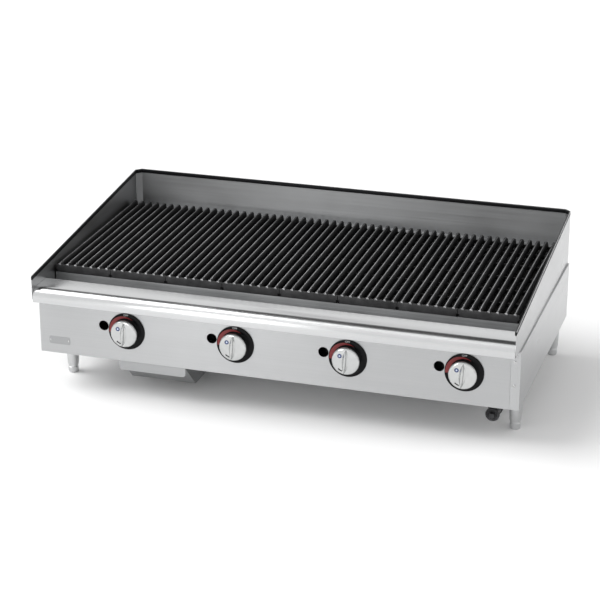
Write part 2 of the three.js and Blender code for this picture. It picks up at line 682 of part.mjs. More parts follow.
function foot(x, y) {
  const top = LEG_FOOT_LEVEL - FINE;
  const points = [
    [0, 0],
    [FOOT_RADIUS - FOOT_EASE, 0],
    [FOOT_RADIUS, FOOT_EASE],
    [FOOT_RADIUS, top],
    [STUD_RADIUS, top],
    [STUD_RADIUS, STUD_TOP],
    [0, STUD_TOP],
  ];
  return turned(points).translate(x, y, 0);
}

// ---- grease drawer ------------------------------------------------------------------------------------

const DRAWER_TOP = 96;
const DRAWER_FLANGE = 6;
const DRAWER_FLANGE_FRONT = 70;
const DRAWER_BOTTOM_FRONT = 75;
const FACE_BOTTOM = 78;
const FACE_TOP = BODY_BOTTOM - FINE;
const FACE_HALF = 88;
const FACE_CORNER = 9;
const FACE_Y = 0.5;

function greaseDrawer() {
  const left = DRAWER_X - DRAWER_WIDTH / 2;
  const right = DRAWER_X + DRAWER_WIDTH / 2;
  const slope = DRAWER_TOP - DRAWER_BOTTOM;
  const frontTop = DRAWER_BOTTOM_FRONT - slope;
  const side = [
    [DRAWER_BOTTOM_FRONT, DRAWER_BOTTOM],
    [DRAWER_REAR, DRAWER_BOTTOM],
    [DRAWER_REAR, DRAWER_TOP],
    [frontTop, DRAWER_TOP],
  ];
  const skin = SHEET * Math.SQRT2;
  const hollow = [
    [DRAWER_BOTTOM_FRONT + SHEET, DRAWER_BOTTOM + SHEET],
    [DRAWER_REAR - SHEET, DRAWER_BOTTOM + SHEET],
    [DRAWER_REAR - SHEET, DRAWER_TOP + SHEET],
    [frontTop + skin - SHEET, DRAWER_TOP + SHEET],
  ];
  const tray = cut(joined(alongX(side, left, right)), alongX(hollow, left + SHEET, right - SHEET));
  const rims = [-1, 1].map((hand) => {
    const wall = DRAWER_X + hand * (DRAWER_WIDTH / 2 - SHEET);
    const edge = DRAWER_X + hand * (DRAWER_WIDTH / 2 + DRAWER_FLANGE);
    return slab(between(wall, edge), [DRAWER_FLANGE_FRONT, DRAWER_REAR], [DRAWER_TOP - SHEET, DRAWER_TOP]);
  });
  const cornerX = FACE_HALF - FACE_CORNER;
  const cornerZ = FACE_BOTTOM + FACE_CORNER;
  const plate = new THREE.Shape();
  plate.moveTo(-cornerX, FACE_BOTTOM);
  plate.absarc(cornerX, cornerZ, FACE_CORNER, 1.5 * Math.PI, 2 * Math.PI, false);
  plate.lineTo(FACE_HALF, FACE_TOP);
  plate.lineTo(-FACE_HALF, FACE_TOP);
  plate.absarc(-cornerX, cornerZ, FACE_CORNER, Math.PI, 1.5 * Math.PI, false);
  const face = alongY(plate, FACE_Y, FACE_Y + SHEET, 4).translate(DRAWER_X, 0, 0);
  const bridgeZ = [DRAWER_TOP - SHEET / 2, DRAWER_TOP + SHEET / 2];
  const bridge = slab([left, right], [FACE_Y, frontTop + 2 * SHEET], bridgeZ);
  return joined(face, bridge, ...rims).add(tray);
}

const RAIL_LIP = 5;
const RAIL_CAP = 12;

/** A hanging rail: a web under the base pan with a lip that carries the drawer's rim. */
function drawerRail(hand) {
  const rim = DRAWER_WIDTH / 2 + DRAWER_FLANGE;
  const inner = rim + 1;
  const outer = inner + SHEET;
  const web = between(DRAWER_X + hand * inner, DRAWER_X + hand * outer);
  const lip = between(DRAWER_X + hand * (rim - RAIL_LIP), DRAWER_X + hand * outer);
  const cap = between(DRAWER_X + hand * inner, DRAWER_X + hand * (outer + RAIL_CAP));
  const run = [DRAWER_FLANGE_FRONT, DRAWER_REAR];
  const lipTop = DRAWER_TOP - SHEET - FINE;
  return joined(
    slab(web, run, [lipTop - SHEET, PAN_BOTTOM - GAP]),
    slab(lip, run, [lipTop - SHEET, lipTop]),
    slab(cap, run, [PAN_BOTTOM - GAP - SHEET, PAN_BOTTOM - GAP]),
  );
}

// ---- fasteners of the front flange --------------------------------------------------------------------

const SCREW_X = SIDE_OUTER - FLANGE_WIDTH / 2 - 2;
const SCREW_RADIUS = 4;
const SCREW_HEAD = 2;
const SCREW_SIDES = 10;

function flangeScrew(level) {
  return rodAlongY(SCREW_RADIUS, SCREW_X, level, -GAP - SCREW_HEAD, -GAP, SCREW_SIDES);
}

// ---- assembly -----------------------------------------------------------------------------------------

add('control_panel', controlPanel(), STAINLESS);
add('side_panel_left', sidePanel(-1), STAINLESS);
add('side_panel_right', sidePanel(1), STAINLESS);
add('rear_panel', rearPanel(), STAINLESS);
add('base_pan', basePan(), ALUMINISED);
add('splash_left', sideSplash(-1), STAINLESS);
add('splash_right', sideSplash(1), STAINLESS);
add('splash_back', backSplash(), STAINLESS);
add('bull_nose', bullNose(), STAINLESS);
add('firebox_front', fireboxFront(), DARK_STAINLESS);
add('firebox_rear', fireboxRear(), DARK_STAINLESS);
addGrates();

for (let i = 0; i < BURNER_COUNT; i += 1) {
  const number = i + 1;
  add(`radiant_${number}`, radiant(i), CAST_IRON);
  add(`burner_${number}`, burner(i), ALUMINISED);
  add(`valve_${number}`, valve(i), BRASS);
  add(`valve_stem_${number}`, valveStem(i), BRASS);
  add(`bezel_${number}`, bezel(i), BLACK_GLOSS);
  add(`knob_${number}`, knob(i), CHROME);
}

add('gas_manifold', manifold(), BLACK_IRON);
add('gas_tee', gasTee(), BLACK_IRON);
add('tee_plug', teePlug(), BLACK_IRON);
add('supply_pipe', supplyPipe(), BLACK_IRON);

for (const [corner, x, y] of [
  ['front_left', -LEG_X, LEG_FRONT_Y],
  ['front_right', LEG_X, LEG_FRONT_Y],
  ['rear_left', -LEG_X, LEG_REAR_Y],
  ['rear_right', LEG_X, LEG_REAR_Y],
]) {
  add(`leg_${corner}`, leg(x, y), NICKEL);
  add(`foot_${corner}`, foot(x, y), NICKEL);
}

add('grease_drawer', greaseDrawer(), STAINLESS);
add('drawer_rail_left', drawerRail(-1), ALUMINISED);
add('drawer_rail_right', drawerRail(1), ALUMINISED);
add('flange_screw_lower', flangeScrew(SCREW_LEVELS[0]), CHROME);
add('flange_screw_upper', flangeScrew(SCREW_LEVELS[1]), CHROME);

const group = new THREE.Group();
group.add(model);
export default group;
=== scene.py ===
"""Counter-top charbroiler: the visible model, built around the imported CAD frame.

Lengths are in metres in the frame's own axes: +X to the right along the front, +Y to the rear and +Z up.
Each function makes one kind of piece from the boxes of the CAD nodes that it stands for.
"""
import math

import bmesh
import bpy
from mathutils import Matrix, Vector


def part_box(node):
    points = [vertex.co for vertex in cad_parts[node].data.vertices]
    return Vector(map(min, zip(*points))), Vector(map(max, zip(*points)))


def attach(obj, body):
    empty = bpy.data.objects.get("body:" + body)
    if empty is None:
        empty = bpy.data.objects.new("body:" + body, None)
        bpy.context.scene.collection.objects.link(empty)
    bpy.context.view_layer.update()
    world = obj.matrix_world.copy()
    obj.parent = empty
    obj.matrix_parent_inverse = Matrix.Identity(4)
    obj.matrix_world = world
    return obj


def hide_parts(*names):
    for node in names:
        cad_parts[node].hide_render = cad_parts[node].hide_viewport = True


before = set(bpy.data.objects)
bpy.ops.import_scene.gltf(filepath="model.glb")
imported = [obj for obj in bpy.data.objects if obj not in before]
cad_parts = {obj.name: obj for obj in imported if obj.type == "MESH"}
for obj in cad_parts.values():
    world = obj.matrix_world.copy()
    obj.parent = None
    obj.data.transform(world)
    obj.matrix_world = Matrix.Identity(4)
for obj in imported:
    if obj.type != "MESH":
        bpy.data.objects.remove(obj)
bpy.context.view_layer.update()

MM = 0.001
SHEET = 1.5 * MM
ROOT = "body"
BURNERS = range(1, 5)
GRATES = range(1, 9)
CORNERS = ("front_left", "front_right", "rear_left", "rear_right")


# ---- camera ----------------------------------------------

CAMERA_AZIMUTH = math.radians(17.56)
CAMERA_ELEVATION = math.radians(21.05)
CAMERA_DISTANCE = 4.7995
CAMERA_TARGET = Vector((-0.0213, -0.0029, 0.1968))
CAMERA_LENS = 112.72
CAMERA_REACH = 50
SENSOR = 36.0


def add_camera():
    """A camera that looks at the target from its azimuth, elevation and distance."""
    back = Vector((
        math.sin(CAMERA_AZIMUTH) * math.cos(CAMERA_ELEVATION),
        -math.cos(CAMERA_AZIMUTH) * math.cos(CAMERA_ELEVATION),
        math.sin(CAMERA_ELEVATION),
    ))
    data = bpy.data.cameras.new("camera")
    data.lens = CAMERA_LENS
    data.sensor_width = SENSOR
    data.clip_end = CAMERA_REACH
    camera = bpy.data.objects.new("camera", data)
    bpy.context.scene.collection.objects.link(camera)
    turn = back.to_track_quat("Z", "Y").to_matrix().to_4x4()
    camera.matrix_world = Matrix.Translation(CAMERA_TARGET + back * CAMERA_DISTANCE) @ turn
    bpy.context.scene.camera = camera


# ---- node helpers ----------------------------------------

NOISE_LOW = 0.3  # most of a noise texture's values fall between these two
NOISE_HIGH = 0.7
MIX_FIRST, MIX_SECOND, MIX_RESULT = 6, 7, 2  # the colour sockets of a Mix node


def new_material(name, color, metallic, roughness):
    """A material with its shader's own constants set, and the nodes and links to build on."""
    material = bpy.data.materials.new(name)
    material.use_nodes = True
    shader = material.node_tree.nodes["Principled BSDF"]
    shader.inputs["Base Color"].default_value = (*color, 1)
    shader.inputs["Metallic"].default_value = metallic
    shader.inputs["Roughness"].default_value = roughness
    return material, material.node_tree, shader


def stretched_noise(tree, scale, detail=3.0, roughness=0.55):
    """Noise in the object's own coordinates, stretched by a scale along each axis."""
    place = tree.nodes.new("ShaderNodeTexCoord")
    stretch = tree.nodes.new("ShaderNodeMapping")
    stretch.inputs["Scale"].default_value = scale
    noise = tree.nodes.new("ShaderNodeTexNoise")
    noise.inputs["Scale"].default_value = 1.0
    noise.inputs["Detail"].default_value = detail
    noise.inputs["Roughness"].default_value = roughness
    tree.links.new(place.outputs["Object"], stretch.inputs["Vector"])
    tree.links.new(stretch.outputs["Vector"], noise.inputs["Vector"])
    return noise.outputs["Fac"]


def even_noise(tree, scale, detail=3.0, roughness=0.55):
    """Noise with the same scale along every axis."""
    return stretched_noise(tree, (scale, scale, scale), detail, roughness)


def toned(color, factor):
    """A colour made darker or lighter, never above white."""
    return tuple(min(1.0, channel * factor) for channel in color)


def remap(tree, value, low, high, from_low=NOISE_LOW, from_high=NOISE_HIGH):
    """Stretches a value's range to low..high, and clamps it there."""
    node = tree.nodes.new("ShaderNodeMapRange")
    node.inputs["From Min"].default_value = from_low
    node.inputs["From Max"].default_value = from_high
    node.inputs["To Min"].default_value = low
    node.inputs["To Max"].default_value = high
    tree.links.new(value, node.inputs["Value"])
    return node.outputs["Result"]


def combine(tree, operation, first, second):
    """A Math node on two sockets or numbers."""
    node = tree.nodes.new("ShaderNodeMath")
    node.operation = operation
    for socket, value in zip(node.inputs, (first, second)):
        if isinstance(value, (int, float)):
            socket.default_value = value
        else:
            tree.links.new(value, socket)
    return node.outputs[0]


def mix_colors(tree, factor, first, second):
    """Goes from the first colour to the second with the factor."""
    node = tree.nodes.new("ShaderNodeMix")
    node.data_type = "RGBA"
    tree.links.new(factor, node.inputs["Factor"])
    for socket, value in ((node.inputs[MIX_FIRST], first), (node.inputs[MIX_SECOND], second)):
        if isinstance(value, tuple):
            socket.default_value = (*value, 1)
        else:
            tree.links.new(value, socket)
    return node.outputs[MIX_RESULT]


def add_bump(tree, shader, height, strength, distance):
    """Bends the shader's normal by a height."""
    bump = tree.nodes.new("ShaderNodeBump")
    bump.inputs["Strength"].default_value = strength
    bump.inputs["Distance"].default_value = distance
    tree.links.new(height, bump.inputs["Height"])
    tree.links.new(bump.outputs["Normal"], shader.inputs["Normal"])


# ---- materials -------------------------------------------

GRAIN_ALONG = 1.2  # noise cells to a metre along the grain of brushed steel
GRAIN_ACROSS = 330  # and across it
ALONG_X = (GRAIN_ALONG, GRAIN_ACROSS, GRAIN_ACROSS)
ALONG_Y = (GRAIN_ACROSS, GRAIN_ALONG, GRAIN_ACROSS)
ALONG_Z = (GRAIN_ACROSS, GRAIN_ACROSS, GRAIN_ALONG)
BRUSH_ANISOTROPY = 0.75
BRUSH_TURN = 0.25  # a quarter turn: the gloss spreads across the grain
BRUSH_DEPTH = 0.2 * MM
STAIN_SCALE = 7
STREAK_SHARE = 0.6
STAIN_SHARE = 0.4
HAZE = 0.03


def brushed_steel(name, color, roughness, grain=ALONG_X, spread=0.04, stain=0.04, bump=0.06):
    """Brushed sheet: fine streaks along one axis, faint stains and a gloss that spreads across the grain."""
    material, tree, shader = new_material(name, color, 1.0, roughness)
    shader.inputs["Anisotropic"].default_value = BRUSH_ANISOTROPY
    shader.inputs["Anisotropic Rotation"].default_value = BRUSH_TURN
    streaks = stretched_noise(tree, grain, detail=4)
    cloud = even_noise(tree, STAIN_SCALE, detail=4)
    gloss = remap(tree, streaks, roughness - spread, roughness + spread)
    haze = remap(tree, cloud, -HAZE, HAZE)
    tree.links.new(combine(tree, "ADD", gloss, haze), shader.inputs["Roughness"])
    fine = combine(tree, "MULTIPLY", streaks, STREAK_SHARE)
    broad = combine(tree, "MULTIPLY", cloud, STAIN_SHARE)
    shade = remap(tree, combine(tree, "ADD", fine, broad), 0, 1)
    tint = mix_colors(tree, shade, toned(color, 1 - stain), toned(color, 1 + stain))
    tree.links.new(tint, shader.inputs["Base Color"])
    add_bump(tree, shader, streaks, bump, BRUSH_DEPTH)
    return material


IRON_METALLIC = 0.6
IRON_SPECULAR = 0.25
IRON_DEPTH = 0.6 * MM
IRON_PATCH_SCALE = 38
IRON_DARK = 0.6
IRON_LIGHT = 1.5
IRON_SMOOTHER = 0.1  # how far the roughness falls below and rises above its middle
IRON_ROUGHER = 0.12
WEAR_AND_HIGHLIGHT_LEAST = 0.6  # parts painted bright, partly scuffed metal and partly a painted highlight, are never less bright than this share
WEAR_GLOSS = 0.26


def cast_iron(name, color, roughness, grit=420, bump=0.5, wear_and_highlight_color=None):
    """Sand-cast iron; where the mesh carries a marking attribute, that part is painted bright, partly as
    scuffed metal and partly as a painted highlight.
    """
    material, tree, shader = new_material(name, color, IRON_METALLIC, roughness)
    shader.inputs["Specular IOR Level"].default_value = IRON_SPECULAR
    grain = even_noise(tree, grit, detail=5, roughness=0.65)
    patches = even_noise(tree, IRON_PATCH_SCALE, detail=3)
    shade = remap(tree, patches, 0, 1)
    base = mix_colors(tree, shade, toned(color, IRON_DARK), toned(color, IRON_LIGHT))
    rough = remap(tree, grain, roughness - IRON_SMOOTHER, roughness + IRON_ROUGHER)
    if wear_and_highlight_color is not None:
        # The marked parts are mixed towards a bright colour: partly scuffed metal, partly a painted
        # highlight.
        wear_and_highlight = tree.nodes.new("ShaderNodeAttribute")
        wear_and_highlight.attribute_name = "wear_and_highlight"
        rubbed_and_highlit = combine(tree, "MULTIPLY", wear_and_highlight.outputs["Fac"], remap(tree, patches, WEAR_AND_HIGHLIGHT_LEAST, 1.0))
        base = mix_colors(tree, rubbed_and_highlit, base, wear_and_highlight_color)
        rough = combine(tree, "SUBTRACT", rough, combine(tree, "MULTIPLY", rubbed_and_highlit, WEAR_GLOSS))
    tree.links.new(base, shader.inputs["Base Color"])
    tree.links.new(rough, shader.inputs["Roughness"])
    add_bump(tree, shader, grain, bump, IRON_DEPTH)
    return material


GLOSS_BLACK = (0.004, 0.004, 0.0045)
GLOSS_SPECULAR = 0.12
GLOSS_ROUGHNESS = (0.12, 0.22)
GLOSS_PEEL = 0.03
GLOSS_DEPTH = 0.2 * MM


def gloss_black(name):
    """Smooth black enamel, with a faint orange peel."""
    material, tree, shader = new_material(name, GLOSS_BLACK, metallic=0.0, roughness=0.16)
    shader.inputs["Specular IOR Level"].default_value = GLOSS_SPECULAR
    speckle = even_noise(tree, 60, detail=4)
    tree.links.new(remap(tree, speckle, *GLOSS_ROUGHNESS), shader.inputs["Roughness"])
    add_bump(tree, shader, even_noise(tree, 700), GLOSS_PEEL, GLOSS_DEPTH)
    return material


CHROMIUM = (0.549, 0.556, 0.554)  # the reflectance of bright chromium
CHROME_ROUGHNESS = (0.04, 0.11)


def chrome(name):
    """Bright chromium plate, slightly smeared."""
    material, tree, shader = new_material(name, CHROMIUM, metallic=1.0, roughness=0.06)
    smear = even_noise(tree, 90, detail=4)
    tree.links.new(remap(tree, smear, *CHROME_ROUGHNESS), shader.inputs["Roughness"])
    tint = mix_colors(tree, remap(tree, smear, 0, 1), toned(CHROMIUM, 0.96), toned(CHROMIUM, 1.06))
    tree.links.new(tint, shader.inputs["Base Color"])
    return material


ENAMEL_ROUGHNESS = (0.28, 0.42)


def enamel(name, color):
    """Printed enamel ink, slightly uneven."""
    material, tree, shader = new_material(name, color, metallic=0.0, roughness=0.35)
    uneven = even_noise(tree, 500, detail=3)
    tint = mix_colors(tree, remap(tree, uneven, 0, 1), toned(color, 0.82), toned(color, 1.12))
    tree.links.new(tint, shader.inputs["Base Color"])
    tree.links.new(remap(tree, uneven, *ENAMEL_ROUGHNESS), shader.inputs["Roughness"])
    return material


PANEL_STEEL = brushed_steel("panel_steel", (0.46, 0.465, 0.47), 0.34)
SIDE_STEEL = brushed_steel("side_steel", (0.48, 0.485, 0.49), 0.32, grain=ALONG_Y)
REAR_STEEL = brushed_steel("rear_steel", (0.50, 0.505, 0.51), 0.34)
SPLASH_X = brushed_steel("splash_back_steel", (0.40, 0.405, 0.41), 0.36)
SPLASH_Y = brushed_steel("splash_side_steel", (0.48, 0.485, 0.49), 0.32, grain=ALONG_Y)
NOSE_STEEL = brushed_steel("nose_steel", (0.58, 0.585, 0.59), 0.22)
# Near-black: painted shade along the rolled top edges of the splashes, which are the same stainless sheet as
# the splashes.
HEM_PAINTED_SHADE = brushed_steel("hem_painted_shade", (0.018, 0.018, 0.019), 0.35)
FIREBOX_STEEL = brushed_steel("firebox_steel", (0.36, 0.365, 0.37), 0.42, stain=0.2)
SHEET_GREY = brushed_steel("aluminised_sheet", (0.44, 0.445, 0.45), 0.48, stain=0.15)
DRAWER_STEEL = brushed_steel("drawer_steel", (0.36, 0.365, 0.37), 0.36)
LEG_NICKEL = brushed_steel("leg_nickel", (0.58, 0.585, 0.59), 0.32, grain=ALONG_Z)
BRASS = brushed_steel("valve_brass", (0.62, 0.45, 0.19), 0.32, grain=ALONG_Y)
# The grates' bright ridges and front bar are partly scuffed metal and partly a painted highlight.
GRATE_IRON = cast_iron("grate_iron", (0.009, 0.009, 0.0095), 0.6, wear_and_highlight_color=(0.55, 0.55, 0.56))
RADIANT_IRON = cast_iron("radiant_iron", (0.045, 0.043, 0.041), 0.62)
PIPE_IRON = cast_iron("pipe_iron", (0.04, 0.04, 0.042), 0.42, grit=700, bump=0.25)
BLACK = gloss_black("bezel_black")
CHROME = chrome("knob_chrome")
RED_INK = enamel("dial_red", (0.19, 0.008, 0.01))
WHITE_INK = enamel("dial_white", (0.55, 0.55, 0.55))
BLUE_INK = enamel("dial_blue", (0.02, 0.04, 0.14))
PALE_INK = enamel("dial_pale", (0.62, 0.68, 0.80))
DARK_INK = enamel("mark_dark", (0.02, 0.02, 0.021))


# ---- mesh helpers ----------------------------------------


def piece(name, mesh, material, body, slot, *replaced):
    """Puts a mesh in the scene as one piece that rides on a body."""
    obj = bpy.data.objects.new(name, mesh)
    bpy.context.scene.collection.objects.link(obj)
    mesh.materials.clear()
    mesh.materials.append(material)
    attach(obj, body)
    if replaced:
        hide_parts(*replaced)
    return obj


def mesh_from(bm, name, smooth_angle=None):
    """Makes a mesh, with faces smooth below an angle in degrees, and frees the bmesh."""
    bmesh.ops.recalc_face_normals(bm, faces=bm.faces)
    mesh = bpy.data.meshes.new(name)
    bm.to_mesh(mesh)
    bm.free()
    if smooth_angle is not None:
        mesh.polygons.foreach_set("use_smooth", [True] * len(mesh.polygons))
        mesh.set_sharp_from_angle(angle=math.radians(smooth_angle))
    return mesh


def bevel(obj, width, segments=2, angle=35):
    """Softens an object's edges above an angle in degrees."""
    modifier = obj.modifiers.new("edge", "BEVEL")
    modifier.width = width
    modifier.segments = segments
    modifier.limit_method = "ANGLE"
    modifier.angle_limit = math.radians(angle)
    modifier.harden_normals = False
    return obj


def prism(bm, outline, place, start, end):
    """Carries a closed outline of (a, b) points from start to end; place(a, b, t) gives each vertex."""
    near = [bm.verts.new(place(a, b, start)) for a, b in outline]
    far = [bm.verts.new(place(a, b, end)) for a, b in outline]
    count = len(outline)
    for i in range(count):
        j = (i + 1) % count
        bm.faces.new((near[i], near[j], far[j], far[i]))
    bm.faces.new(near)
    bm.faces.new(list(reversed(far)))


def across(a, b, t):
    """Outline in (y, z), carried along X."""
    return (t, a, b)


def inward(a, b, t):
    """Outline in (x, z), carried along Y."""
    return (a, t, b)


def upward(a, b, t):
    """Outline in (x, y), carried along Z."""
    return (a, b, t)


def block(bm, low, high):
    """A box between two corners."""
    outline = [(low[0], low[1]), (high[0], low[1]), (high[0], high[1]), (low[0], high[1])]
    prism(bm, outline, upward, low[2], high[2])


def arc(cx, cy, radius, start, end, steps):
    """Points of an arc, with its angles in degrees."""
    angles = [math.radians(start + (end - start) * i / steps) for i in range(steps + 1)]
    return [(cx + radius * math.cos(a), cy + radius * math.sin(a)) for a in angles]


def circle(cx, cy, radius, steps=48):
    """Points of a full circle."""
    return arc(cx, cy, radius, 0, 360 - 360 / steps, steps - 1)


ON_AXIS = 1e-9  # a radius below this is a point on the axis
UP = (0, 0, 1)
FRONT = (0, -1, 0)
REAR = (0, 1, 0)


def lathe(bm, profile, centre, direction, steps=48):
    """Turns (radius, height) points about a line through centre along direction; ends close on the axis."""
    turn = Vector(direction).to_track_quat("Z", "Y").to_matrix().to_4x4()
    place = Matrix.Translation(centre) @ turn
    angles = [2 * math.pi * i / steps for i in range(steps)]
    rings = []
    for radius, height in profile:
        if radius < ON_AXIS:
            rings.append([bm.verts.new(place @ Vector((0, 0, height)))])
            continue
        points = [Vector((radius * math.cos(a), radius * math.sin(a), height)) for a in angles]
        rings.append([bm.verts.new(place @ point) for point in points])
    for lower, upper in zip(rings, rings[1:]):
        for i in range(steps):
            j = (i + 1) % steps
            below = [lower[k % len(lower)] for k in (i, j)]
            above = [upper[k % len(upper)] for k in (j, i)]
            unique = list(dict.fromkeys(below + above))
            if len(unique) > 2:
                bm.faces.new(unique)


def loft(bm, rings):
    """Joins rings of vertices by quads, one ring to the next, and closes both ends."""
    for near, far in zip(rings, rings[1:]):
        for i in range(len(near)):
            j = (i + 1) % len(near)
            bm.faces.new((near[i], near[j], far[j], far[i]))
    bm.faces.new(rings[0])
    bm.faces.new(rings[-1])


def carve(mesh, cutters):
    """Cuts closed cutter meshes out of a mesh, and gives the result."""
    body = bpy.data.objects.new("carved", mesh)
    bpy.context.scene.collection.objects.link(body)
    tools = []
    for cutter in cutters:
        tool = bpy.data.objects.new("cutter", cutter)
        bpy.context.scene.collection.objects.link(tool)
        tools.append(tool)
        modifier = body.modifiers.new("cut", "BOOLEAN")
        modifier.operation = "DIFFERENCE"
        modifier.solver = "EXACT"
        modifier.object = tool
    evaluated = body.evaluated_get(bpy.context.evaluated_depsgraph_get())
    result = bpy.data.meshes.new_from_object(evaluated)
    for obj in (body, *tools):
        bpy.data.objects.remove(obj)
    return result


WELD = 0.01 * MM


def dress(node, material, bevel_width=None):
    """Keeps a CAD node's own shape, with a better material and softened edges."""
    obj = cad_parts[node]
    obj.data.materials.clear()
    obj.data.materials.append(material)
    weld = obj.modifiers.new("weld", "WELD")
    weld.merge_threshold = WELD
    if bevel_width:
        bevel(obj, bevel_width)


# ---- control panel ---------------------------------------

SHEET_EDGE = 0.4 * MM  # how far the edges of sheet metal are softened
LIGHTING_HOLE = 13 * MM
LIGHTING_OFFSET = (-61 * MM, 8 * MM)
SHAFT_HOLE = 7 * MM
PANEL_RETURN = 18 * MM
PANEL_RELIEF = 2 * MM  # the folded returns stop short of the left side panel


def knob_centre(index):
    """The middle of a knob's bezel."""
    low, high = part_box(f"bezel_{index}")
    return (low + high) / 2


def control_panel():
    """A folded sheet with a shaft hole and a lighting hole for each burner."""
    low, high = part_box("control_panel")
    bm = bmesh.new()
    front, back = low.y, low.y + PANEL_RETURN
    outline = [
        (front, low.z), (back, low.z), (back, low.z + SHEET), (front + SHEET, low.z + SHEET),
        (front + SHEET, high.z - SHEET), (back, high.z - SHEET), (back, high.z), (front, high.z),
    ]
    prism(bm, outline, across, low.x, high.x)
    cutters = []
    for index in BURNERS:
        centre = knob_centre(index)
        dx, dz = LIGHTING_OFFSET
        holes = ((centre.x, centre.z, SHAFT_HOLE), (centre.x + dx, centre.z + dz, LIGHTING_HOLE))
        for x, z, radius in holes:
            tool = bmesh.new()
            prism(tool, circle(x, z, radius), inward, front - SHEET, front + 2 * SHEET)
            cutters.append(mesh_from(tool, "hole"))
    relief = bmesh.new()
    relief_low = (low.x - SHEET, front + SHEET, low.z - SHEET)
    relief_high = (low.x + PANEL_RELIEF, back + SHEET, high.z + SHEET)
    block(relief, relief_low, relief_high)
    cutters.append(mesh_from(relief, "relief"))
    mesh = carve(mesh_from(bm, "control_panel_sheet"), cutters)
    panel = piece("control_panel_sheet", mesh, PANEL_STEEL, ROOT, "body_stainless", "control_panel")
    bevel(panel, SHEET_EDGE)


# ---- bull nose -------------------------------------------

NOSE_RADIUS = 24 * MM
NOSE_BACK_DROP = 6 * MM
NOSE_STRIP = 16 * MM
NOSE_HEM = 12 * MM
NOSE_EDGE = 0.45 * MM
NOSE_STEPS = 28


def bull_nose():
    """One sheet: a short hem at the back, a sloping strip, the deck, the rounded nose and a lower return."""
    low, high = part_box("bull_nose")
    arc_y, arc_z = low.y + NOSE_RADIUS, high.z - NOSE_RADIUS
    back = high.z - NOSE_BACK_DROP
    panel_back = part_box("control_panel")[0].y + PANEL_RETURN
    step = high.y - NOSE_STRIP
    outer = [(high.y, back - NOSE_HEM), (high.y, back), (step, high.z)]
    outer += arc(arc_y, arc_z, NOSE_RADIUS, 90, 180, NOSE_STEPS)
    outer += [(low.y, low.z), (panel_back, low.z)]
    inner = [(panel_back, low.z + SHEET), (low.y + SHEET, low.z + SHEET)]
    inner += arc(arc_y, arc_z, NOSE_RADIUS - SHEET, 180, 90, NOSE_STEPS)
    inner += [(step, high.z - SHEET), (high.y - SHEET, back - SHEET), (high.y - SHEET, back - NOSE_HEM)]
    bm = bmesh.new()
    prism(bm, outer + inner, across, low.x, high.x)
    mesh = mesh_from(bm, "bull_nose_sheet", smooth_angle=20)
    bevel(piece("bull_nose_sheet", mesh, NOSE_STEEL, ROOT, "nose_stainless", "bull_nose"), NOSE_EDGE)


# ---- splashes --------------------------------------------

HEM_RADIUS = 2.2 * MM
HEM_DROP = 8 * MM
HEM_STEPS = 10
FRONT_CORNER = 14 * MM
FRONT_CORNER_STEPS = 12
FRONT_TOP = 318 * MM
SILL_GAP = 0.3 * MM  # between the rear panel and the sill under the back splash
SILL_INSET = 0.5 * MM


def hem_section():
    """A flat closed hem: a narrow loop, round at its top and bottom."""
    top = arc(0, -HEM_RADIUS, HEM_RADIUS, 180, 0, HEM_STEPS)
    bottom = arc(0, -HEM_DROP, HEM_RADIUS, 0, -180, HEM_STEPS)
    return top + bottom


def side_splash(side, name):
    """A plate with a sloping top, and a hem that follows the slope on its inner face."""
    low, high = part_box(name)
    outer = low.x if side < 0 else high.x
    inner = outer - side * SHEET
    outline = [(high.y, low.z), (high.y, high.z), (low.y, FRONT_TOP)]
    corner = (low.y + FRONT_CORNER, low.z + FRONT_CORNER, FRONT_CORNER)
    outline += arc(*corner, 180, 270, FRONT_CORNER_STEPS)
    bm = bmesh.new()
    prism(bm, outline, across, *sorted((inner, outer)))
    plate = piece(f"{name}_sheet", mesh_from(bm, f"{name}_sheet"), SPLASH_Y, ROOT, "splash_stainless", name)
    bevel(plate, SHEET_EDGE)
    hem = bmesh.new()
    centre = inner - side * (HEM_RADIUS - SHEET)
    slope = (high.z - FRONT_TOP) / (high.y - low.y)

    def place(a, b, t):
        return (centre + a, t, FRONT_TOP + slope * (t - low.y) + b)

    prism(hem, hem_section(), place, low.y, high.y)
    # The hem is coloured near-black as painted shade.
    piece(f"{name}_hem", mesh_from(hem, f"{name}_hem", smooth_angle=40), HEM_PAINTED_SHADE, ROOT, "splash_stainless")


def back_splash():
    """A sheet folded forward at both ends, with a sill at its foot and a hem along its top."""
    low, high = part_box("splash_back")
    facet = high.y - low.y
    bend = high.x - facet
    inset = SHEET * math.tan(math.pi / 8)
    edge = high.x - SHEET * math.sqrt(2)
    plan = [
        (-high.x, low.y), (-edge, low.y), (-bend + inset, high.y - SHEET), (bend - inset, high.y - SHEET),
        (edge, low.y), (high.x, low.y), (bend, high.y), (-bend, high.y),
    ]
    bm = bmesh.new()
    prism(bm, plan, upward, low.z, high.z)
    sill_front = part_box("rear_panel")[1].y + SILL_GAP
    block(bm, (-bend, sill_front, low.z), (bend, high.y - SILL_INSET, low.z + SHEET))
    mesh = mesh_from(bm, "splash_back_sheet")
    splash = piece("splash_back_sheet", mesh, SPLASH_X, ROOT, "splash_stainless", "splash_back")
    bevel(splash, SHEET_EDGE)
    inner_bend = bend - inset
    path = [
        (-edge + HEM_RADIUS, low.y), (-inner_bend, high.y - SHEET - HEM_RADIUS),
        (inner_bend, high.y - SHEET - HEM_RADIUS), (edge - HEM_RADIUS, low.y),
    ]
    hem = bmesh.new()
    sweep(hem, hem_section(), path, high.z)
    loop = mesh_from(hem, "splash_back_hem", smooth_angle=40)
    # The hem is coloured near-black as painted shade.
    piece("splash_back_hem", loop, HEM_PAINTED_SHADE, ROOT, "splash_stainless")


